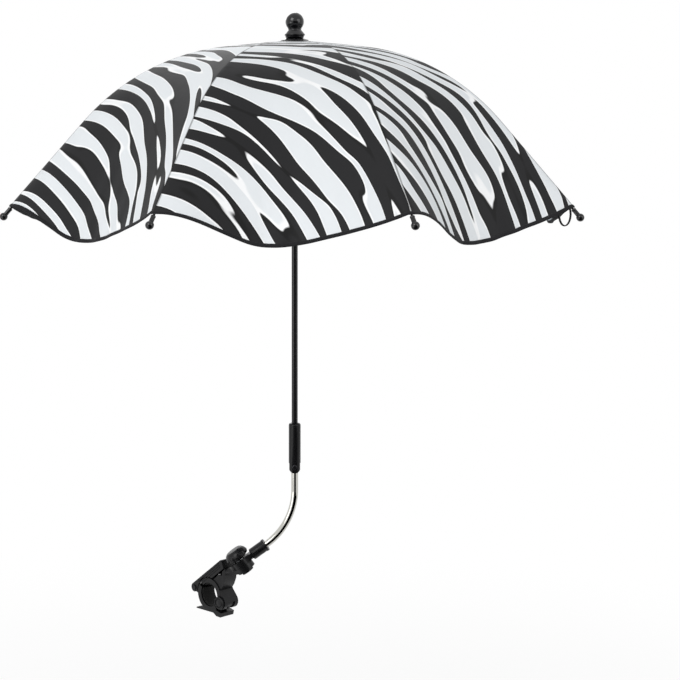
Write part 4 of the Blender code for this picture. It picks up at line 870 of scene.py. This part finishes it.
    def flow(self, row: np.ndarray, offset: np.ndarray, rib: int, side: int) -> np.ndarray:
        """Coordinates along and across the print's stripes on a panel, in metres.

        The panel's own place, x from its middle and y down from the print's
        centre, is turned by the panel's cut. The stripes bend with the square of
        the way along them, and twist with the square of x.

        Args:
            row: 0 at the crown to 1 at the hem.
            offset: Plan angle from the rib in half panels.
            rib: Number of the rib from 0.
            side: -1 or 1, for the panel on either side of the rib.

        Returns:
            Pairs with the shape of row, and 2.
        """
        radius = self.start_radius + (self.hem_radius - self.start_radius) * row
        _, _, length = self.profile(radius)
        panel = (rib if side < 0 else rib - 1) % self.ribs
        x = radius * np.cos(self.half) * np.tan((offset - side) * self.half)
        y = length - self.print_centre
        turn, bend, twist, shift = self.cuts[panel]
        c, s = np.cos(radians(turn)), np.sin(radians(turn))
        along = x * c + y * s
        across = y * c - x * s - bend * along**2 - twist * x**2
        return np.stack([along + shift, across + shift * 0.7], axis=-1)

    def cloth(self, rib: int) -> bpy.types.Object:
        """Build the cloth centred on a rib, its print on top and its lining below.

        Args:
            rib: Number of the rib from 0.

        Returns:
            The piece.
        """
        rows = np.linspace(0.0, 1.0, self.rows + 1) ** 0.9
        near = np.linspace(-1.0, 0.0, self.columns + 1)
        far = np.linspace(0.0, 1.0, self.columns + 1)
        sides = []
        for side, offsets in ((-1, near), (1, far)):
            row, offset = np.meshgrid(rows, offsets, indexing="ij")
            points = self.points(row, offset, rib, side)
            sides.append((points, self.flow(row, offset, rib, side), row, offset))
        grid = np.concatenate([sides[0][0], sides[1][0][:, 1:]], axis=1)
        flows, places = [], []
        for _, flow, row, offset in sides:
            radius = self.start_radius + (self.hem_radius - self.start_radius) * row
            _, _, length = self.profile(radius)
            lateral = radius * np.sin(self.half) * np.abs(offset)
            place = np.stack([lateral, length], axis=-1)
            for values, store in ((flow, flows), (place, places)):
                quads = [values[:-1, :-1], values[:-1, 1:], values[1:, 1:], values[1:, :-1]]
                store.append(np.stack(quads, axis=2))
        maps = {
            "flow": np.concatenate(flows, axis=1).reshape(-1, 2),
            "place": np.concatenate(places, axis=1).reshape(-1, 2),
        }
        return surface(f"canopy_cloth_{rib + 1}", grid, maps=maps, sharp=80.0)

    def tape(self, rib: int) -> bpy.types.Object:
        """Build the tape that is folded over the hem of one cloth piece.

        A flat oval is carried along the hem. Its long axis runs up the cloth,
        and its short axis is the cloth's normal there.

        Args:
            rib: Number of the rib from 0.

        Returns:
            The piece.
        """
        lines = []
        for side, offsets in ((-1, np.linspace(-1, 0, 41)), (1, np.linspace(0, 1, 41)[1:])):
            hem = self.points(np.ones_like(offsets), offsets, rib, side)
            above = self.points(np.full_like(offsets, self.tape_guide), offsets, rib, side)
            lines.append((hem, above))
        hem = np.concatenate([line[0] for line in lines])
        above = np.concatenate([line[1] for line in lines])
        up = above - hem
        up /= np.linalg.norm(up, axis=1)[:, None]
        run = np.gradient(hem, axis=0)
        run /= np.linalg.norm(run, axis=1)[:, None]
        normal = np.cross(run, up)
        steps = self.tape_steps
        angle = np.linspace(0, 2 * pi, steps, endpoint=False)
        wide = self.tape_width / 2 * np.cos(angle)[None, :, None] * up[:, None]
        thick = self.tape_half_thickness * np.sin(angle)[None, :, None] * normal[:, None]
        centre = hem + up * self.tape_width * self.tape_lift
        body = centre[:, None] + wide + thick
        first = np.repeat(centre[:1, None], steps, 1)
        last = np.repeat(centre[-1:, None], steps, 1)
        grid = np.concatenate([first, body, last])
        length = np.concatenate([[0.0], np.cumsum(np.linalg.norm(np.diff(hem, axis=0), axis=1))])
        length = np.concatenate([length[:1], length, length[-1:]])
        u = np.broadcast_to(length[:, None], grid.shape[:2])
        v = np.broadcast_to(np.arange(steps)[None] * MILLIMETRE, grid.shape[:2])
        pairs = np.stack([u, v], axis=-1)
        right = np.roll(pairs, -1, axis=1)
        corners = np.stack([pairs[:-1], right[:-1], right[1:], pairs[1:]], axis=2)
        maps = {"place": corners.reshape(-1, 2)}
        return surface(f"hem_tape_{rib + 1}", grid, wrap=True, maps=maps, sharp=75.0)

    def build(self) -> None:
        """Build every cloth piece and its tape, and set each on its body."""
        finishes = self.workshop.finishes
        for rib in range(self.ribs):
            number = rib + 1
            cloth = self.cloth(rib)
            cloth.data.materials.append(finishes.print)
            cloth.data.materials.append(finishes.lining)
            shell = cloth.modifiers.new("cloth_thickness", "SOLIDIFY")
            shell.thickness = self.cloth_thickness
            shell.offset = -1.0
            shell.material_offset = 1
            shell.material_offset_rim = 0
            self.workshop.dress(cloth, finishes.print, "cloth", f"canopy_panel_{number}")
            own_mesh(cloth)
            tape = self.tape(rib)
            self.workshop.dress(tape, finishes.tape, "webbing", body=f"spoke_{number}")
            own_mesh(tape)


@dataclass
class Turnings:
    """Round pieces: finial, rib tips and shaft."""

    workshop: Workshop
    shaft: tuple[float, float] = (0.108402, -0.034)
    finial_base: float = 0.7522
    finial_height: float = 0.0330
    ball: float = 0.0121
    skirt: float = 0.0138
    cap_ball: float = 0.0050
    cap_stem: float = 0.0027
    cap_length: float = 0.0085
    cap_under: float = 0.0012 + 0.0003 + 0.0014
    cap_shift: float = 0.0006

    def finial(self) -> None:
        """Ball on a waisted neck and a flared skirt."""
        centre = self.finial_height - self.ball
        low = np.arcsin(-0.66)
        angle = np.linspace(low, pi / 2, 22)
        ball = np.stack([self.ball * np.cos(angle), centre + self.ball * np.sin(angle)], axis=-1)
        ball[-1, 0] = 0.0
        foot = rounded(
            [
                (0.0, 0.0),
                (self.skirt * 0.86, 0.0),
                (self.skirt * 0.90, 0.0030),
                (self.skirt, 0.0036),
                (self.skirt * 0.96, 0.0050),
                (self.ball * 0.70, 0.0105),
                tuple(ball[0]),
            ],
            0.0008,
        )
        grid = revolve(np.vstack([foot[:-1], ball]))
        grid = placed(grid, (*self.shaft, self.finial_base), (0, 0, 1))
        obj = surface("finial_turned", grid, wrap=True)
        self.workshop.dress(obj, self.workshop.finishes.abs, "gloss", "finial")

    def caps(self, canopy: Canopy) -> None:
        """Glossy ball on a short stem at the end of every rib."""
        angle = np.linspace(-radians(55), pi / 2, 14)
        centre = self.cap_length + self.cap_ball
        ball = np.stack([self.cap_ball * np.cos(angle), centre + self.cap_ball * np.sin(angle)], axis=-1)
        ball[-1, 0] = 0.0
        stem = rounded(
            [
                (0.0, 0.0),
                (self.cap_stem, 0.0),
                (self.cap_stem * 1.12, 0.0012),
                (self.cap_stem, 0.0026),
                tuple(ball[0]),
            ],
            0.0004,
        )
        grid = revolve(np.vstack([stem[:-1], ball]), 28)
        drop, slope, _ = canopy.profile(np.array([canopy.hem_radius]))
        slope_angle = float(slope[0])
        radius = canopy.hem_radius - self.cap_under * np.sin(slope_angle) + self.cap_shift
        height = canopy.top - float(drop[0]) - self.cap_under * np.cos(slope_angle) - self.cap_shift
        for rib in range(canopy.ribs):
            plan = canopy.first_rib - rib * 2 * canopy.half
            radial = np.array([np.cos(plan), np.sin(plan)])
            axis = (*(radial * np.cos(slope_angle)), -np.sin(slope_angle))
            place = (*(np.array(self.shaft) + radial * radius), height)
            obj = surface(f"rib_cap_{rib + 1}", placed(grid, place, axis), wrap=True)
            self.workshop.dress(obj, self.workshop.finishes.abs, "gloss", f"rib_tip_{rib + 1}")

    def pole(self) -> None:
        """Smooth round shaft, drawn from its own solid's height."""
        low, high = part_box("shaft")
        radius = (high[0] - low[0]) / 2
        profile = rounded([(0.0, low[2]), (radius, low[2]), (radius, high[2]), (0.0, high[2])], 0.0003)
        grid = placed(revolve(profile), (*self.shaft, 0.0), (0, 0, 1))
        obj = surface("shaft_drawn", grid, wrap=True)
        self.workshop.dress(obj, self.workshop.finishes.paint, "painted", "shaft")


@dataclass
class BentTube:
    """Polished tube: a straight start, one bend of constant radius and a short rise."""

    workshop: Workshop
    swivel: Triple = (0.0365, -0.0340, 0.0522)
    rise: float = radians(36)
    start: float = 0.0200
    bend_start: float = 0.0420
    bend_radius: float = 0.0920
    top_run: float = 0.0231
    radius: float = 0.0047

    def build(self) -> None:
        """Build the tube with a fine circle along its path."""
        direction = np.array([np.cos(self.rise), 0.0, np.sin(self.rise)])
        origin = np.array(self.swivel)
        straight = origin + np.linspace(self.start, self.bend_start, 6)[:, None] * direction
        centre = straight[-1] + self.bend_radius * np.array([-np.sin(self.rise), 0.0, np.cos(self.rise)])
        slope = np.linspace(self.rise, pi / 2, 40)[1:, None]
        bend = centre + self.bend_radius * np.hstack([np.sin(slope), 0 * slope, -np.cos(slope)])
        rise = bend[-1] + np.linspace(0, self.top_run, 6)[1:, None] * np.array([0.0, 0.0, 1.0])
        path = np.vstack([straight, bend, rise])
        grid = tube_grid(path, np.full(len(path), self.radius))
        obj = surface("bent_tube_drawn", grid, wrap=True)
        self.workshop.dress(obj, self.workshop.finishes.chrome, "tube", "bent_tube")


@dataclass
class Mouldings:
    """Pieces whose solids already have the right shape and get softened edges."""

    workshop: Workshop
    dark_pins: tuple[str, ...] = ("lever_pin", "socket_pin", "tilt_rivet", "shaft_pin")
    groove: float = 0.0012
    head_edge: float = 0.0007
    head_depth: float = 0.0025
    shank_radius: float = 0.0030
    rib_offsets: tuple[float, ...] = (-0.0026, 0.0, 0.0026)
    rib_width: float = 0.0014
    rib_height: float = 0.0008
    rib_root: float = 0.0003
    rib_start: float = 0.0130
    rib_end: float = 0.0650
    tip_span: float = 0.0035

    def build(self, done: set[str]) -> None:
        """Soften every node that nothing else has replaced.

        Args:
            done: Nodes that have their own piece already.
        """
        finishes = self.workshop.finishes
        by_slot = {
            "plastic": (finishes.nylon, 0.0007),
            "gloss": (finishes.abs, 0.0003),
            "rubber": (finishes.rubber, 0.0),
            "steel": (finishes.zinc, 0.0),
            "painted": (finishes.paint, 0.0),
            "webbing": (finishes.webbing, 0.0003),
        }
        for entry in self.workshop.frame["record"]["subparts"]:
            node, slot = entry["node"], entry["material_slot"]
            if node not in done:
                finish, edge = by_slot[slot]
                if node in self.dark_pins:
                    finish = finishes.blackened
                self.workshop.refine(node, finish, slot, edge)

    def joint(self, name: str) -> tuple[np.ndarray, np.ndarray]:
        """Place and axis of a joint in the frame.

        Args:
            name: Name of the joint.

        Returns:
            A point on the axis, and the axis as a unit vector.
        """
        joints = self.workshop.frame["record"]["behaviour"]["joints"]
        entry = next(item for item in joints if item["name"] == name)
        axis = np.array(entry["axis"], dtype=float)
        return np.array(entry["pos_m"], dtype=float), axis / np.linalg.norm(axis)

    def corners_of(self, node: str) -> np.ndarray:
        """Vertices of a node's solid, one row each."""
        solid = self.workshop.frame["nodes"][node].data
        flat = np.empty(len(solid.vertices) * 3)
        solid.vertices.foreach_get("co", flat)
        return flat.reshape(-1, 3)

    def hinge_disc(self) -> None:
        """Pin of the jaw's hinge, with a ring and a groove round its flat head."""
        place, axis = self.joint("jaw_hinge")
        away = self.corners_of("jaw_pin") - place
        reach = away @ axis
        head = np.linalg.norm(away - reach[:, None] * axis, axis=1).max()
        shank, length = self.shank_radius, reach.max() - reach.min()
        profile = rounded(
            [
                (0.0, 0.0002),
                (head * 0.60, 0.0005),
                (head * 0.64, self.groove),
                (head * 0.74, self.groove),
                (head * 0.78, 0.0001),
                (head * 0.94, 0.0),
                (head, self.head_edge),
                (head, self.head_depth),
                (shank, self.head_depth),
                (shank, length),
                (0.0, length),
            ],
            0.0003,
            3,
        )
        grid = placed(revolve(profile), tuple(place + axis * reach.max()), tuple(-axis))
        obj = surface("hinge_disc", grid, wrap=True, sharp=50.0)
        self.workshop.dress(obj, self.workshop.finishes.nylon, "plastic", "jaw_pin")

    def lever_ribs(self) -> None:
        """Three long ribs on the near wall of the lever, side by side along it."""
        place, axis = self.joint("lever_hinge")
        away = self.corners_of("clamp_lever") - place
        wall = (away @ axis).max()
        flat = away - (away @ axis)[:, None] * axis
        distance = np.linalg.norm(flat, axis=1)
        run = flat[distance > distance.max() - self.tip_span].mean(axis=0)
        run /= np.linalg.norm(run)
        across = np.cross(axis, run)
        half, low, high = self.rib_width / 2, -self.rib_root, self.rib_height
        section = ((-half, low), (-half / 2, high), (half / 2, high), (half, low))
        near, far = self.rib_start, self.rib_end
        for number, offset in enumerate(self.rib_offsets, start=1):
            rows = []
            for along, scale in ((near, 0.0), (near, 1.0), (far, 1.0), (far, 0.0)):
                middle = place + run * along + across * offset + axis * wall
                rows.append([middle + across * side * scale + axis * out * scale for side, out in section])
            obj = surface(f"lever_rib_{number}", np.array(rows), wrap=True, sharp=30.0)
            self.workshop.dress(obj, self.workshop.finishes.nylon, "plastic", body="lever")


@dataclass
class Studio:
    """Pale floor, soft lights and a camera at the photograph's angle."""

    target: Triple = (0.108402, -0.034, 0.36)
    shadow_reach: tuple[float, float] = (0.45, 1.6)
    flag_sides: tuple[float, float] = (-0.42, 1.50)
    flag_top: tuple[float, float] = (-1.60, 0.95)
    flag_fold: tuple[float, float] = (-1.60, -0.30)
    flag_near: tuple[float, float] = (-0.30, -0.30)
    floor_half: float = 9.0
    floor_height: float = -0.32
    lens: float = 87.565
    lens_shift: tuple[float, float] = (0.066618, -0.050735)
    camera_place: Triple = (0.108402, -2.223312, 0.616794)
    camera_tilt: float = radians(90 - 5.65)

    def flag(self) -> None:
        """Black card that stands before the tube and lies below it, seen by its reflection alone."""
        data = bpy.data.meshes.new("black_flag")
        left, right = self.flag_sides
        line = (self.flag_top, self.flag_fold, self.flag_near)
        corners = [(x, y, z) for y, z in line for x in (left, right)]
        data.from_pydata(corners, [], [(0, 1, 3, 2), (2, 3, 5, 4)])
        obj = linked("black_flag", data)
        material, _, shader = blank_material("black_card")
        shader.inputs["Base Color"].default_value = linear("#050505")
        shader.inputs["Roughness"].default_value = 1.0
        shader.inputs["Specular IOR Level"].default_value = 0.0
        data.materials.append(material)
        obj.visible_camera = False
        obj.visible_diffuse = False
        obj.visible_shadow = False
        obj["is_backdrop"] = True

    def floor(self) -> None:
        """White floor that keeps a faint shadow, and hides nothing from below."""
        data = bpy.data.meshes.new("studio_floor")
        half, height = self.floor_half, self.floor_height
        corners = [(-half, -half, height), (half, -half, height), (half, half, height), (-half, half, height)]
        data.from_pydata(corners, [], [(0, 1, 2, 3)])
        obj = linked("studio_floor", data)
        material, tree, shader = blank_material("pale_floor")
        shader.inputs["Base Color"].default_value = linear("#F2F2F2")
        shader.inputs["Roughness"].default_value = 0.9
        seen = self.seen(tree)
        place = add_node(tree, "ShaderNodeTexCoord").outputs["Object"]
        reach = add_node(tree, "ShaderNodeVectorMath", {"operation": "LENGTH"}, {0: place}).outputs["Value"]
        glowing = remap(tree, reach, self.shadow_reach, (0.80, 1.0), smooth=True)
        share = maths(tree, "MULTIPLY", seen, glowing)
        glow = add_node(tree, "ShaderNodeEmission", inputs={"Color": (1, 1, 1, 1), "Strength": 1.0})
        mixed = add_node(
            tree,
            "ShaderNodeMixShader",
            inputs={0: share, 1: shader.outputs[0], 2: glow.outputs[0]},
        )
        clear = add_node(tree, "ShaderNodeBsdfTransparent")
        below = add_node(tree, "ShaderNodeNewGeometry").outputs["Backfacing"]
        sided = add_node(
            tree,
            "ShaderNodeMixShader",
            inputs={0: below, 1: mixed.outputs[0], 2: clear.outputs[0]},
        )
        tree.links.new(sided.outputs[0], tree.nodes["Material Output"].inputs["Surface"])
        data.materials.append(material)
        obj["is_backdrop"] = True

    @staticmethod
    def seen(tree: Tree) -> Socket:
        """1 for a ray from the camera, a reflection or glass, and 0 for light on the object."""
        path = add_node(tree, "ShaderNodeLightPath")
        first = maths(tree, "MAXIMUM", path.outputs["Is Camera Ray"], path.outputs["Is Glossy Ray"])
        return maths(tree, "MAXIMUM", first, path.outputs["Is Transmission Ray"])

    def world(self) -> None:
        """White to the eye, and a soft even light on the object."""
        world = bpy.data.worlds.new("soft_studio")
        bpy.context.scene.world = world
        world.use_nodes = True
        tree = world.node_tree
        ground = tree.nodes["Background"]
        level = remap(tree, self.seen(tree), (0.0, 1.0), (0.55, 1.0))
        ground.inputs["Color"].default_value = (1, 1, 1, 1)
        tree.links.new(level, ground.inputs["Strength"])

    def lamp(self, name: str, place: Triple, size: float, power: float) -> None:
        """Add a soft square lamp that faces the object."""
        light = bpy.data.lights.new(name, "AREA")
        light.shape = "SQUARE"
        light.size = size
        light.energy = power
        obj = linked(name, light)
        obj.location = place
        aim = Vector(self.target) - Vector(place)
        obj.rotation_euler = aim.to_track_quat("-Z", "Y").to_euler()

    def camera(self) -> None:
        """Camera at the photograph's distance and angle."""
        data = bpy.data.cameras.new("camera")
        data.sensor_width = 36.0
        data.lens = self.lens
        data.shift_x, data.shift_y = self.lens_shift
        obj = linked("camera", data)
        obj.location = self.camera_place
        obj.rotation_euler = (self.camera_tilt, 0.0, 0.0)
        bpy.context.scene.camera = obj

    def build(self) -> None:
        """Build the whole studio."""
        self.camera()
        self.floor()
        self.flag()
        self.world()
        self.lamp("key_softbox", (-1.6, -2.4, 2.3), 1.8, 42.0)
        self.lamp("fill_softbox", (2.2, -1.8, 1.3), 1.8, 18.0)
        self.lamp("low_softbox", (-1.9, -1.5, 0.1), 1.0, 8.0)
        self.lamp("back_softbox", (-0.6, 2.4, 1.9), 1.8, 20.0)
        bpy.context.scene.view_settings.view_transform = "Standard"


def corners() -> list[list[float]]:
    """Lowest and highest corner of what is shown, as plain numbers."""
    low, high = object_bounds()
    return [[float(value) for value in low], [float(value) for value in high]]


def main() -> None:
    """Load the frame, dress every sub-assembly and set the studio."""
    logging.basicConfig(level=logging.INFO, format="%(message)s")
    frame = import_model()
    Studio().build()
    workshop = Workshop(frame, Finishes())
    canopy = Canopy(workshop)
    canopy.build()
    turnings = Turnings(workshop)
    turnings.finial()
    turnings.caps(canopy)
    turnings.pole()
    BentTube(workshop).build()
    done = {f"canopy_panel_{k}" for k in range(1, 9)} | {f"rib_tip_{k}" for k in range(1, 9)}
    done |= {"finial", "shaft", "bent_tube", "jaw_pin"}
    mouldings = Mouldings(workshop)
    mouldings.build(done)
    mouldings.hinge_disc()
    mouldings.lever_ribs()


if __name__ == "__main__":
    main()
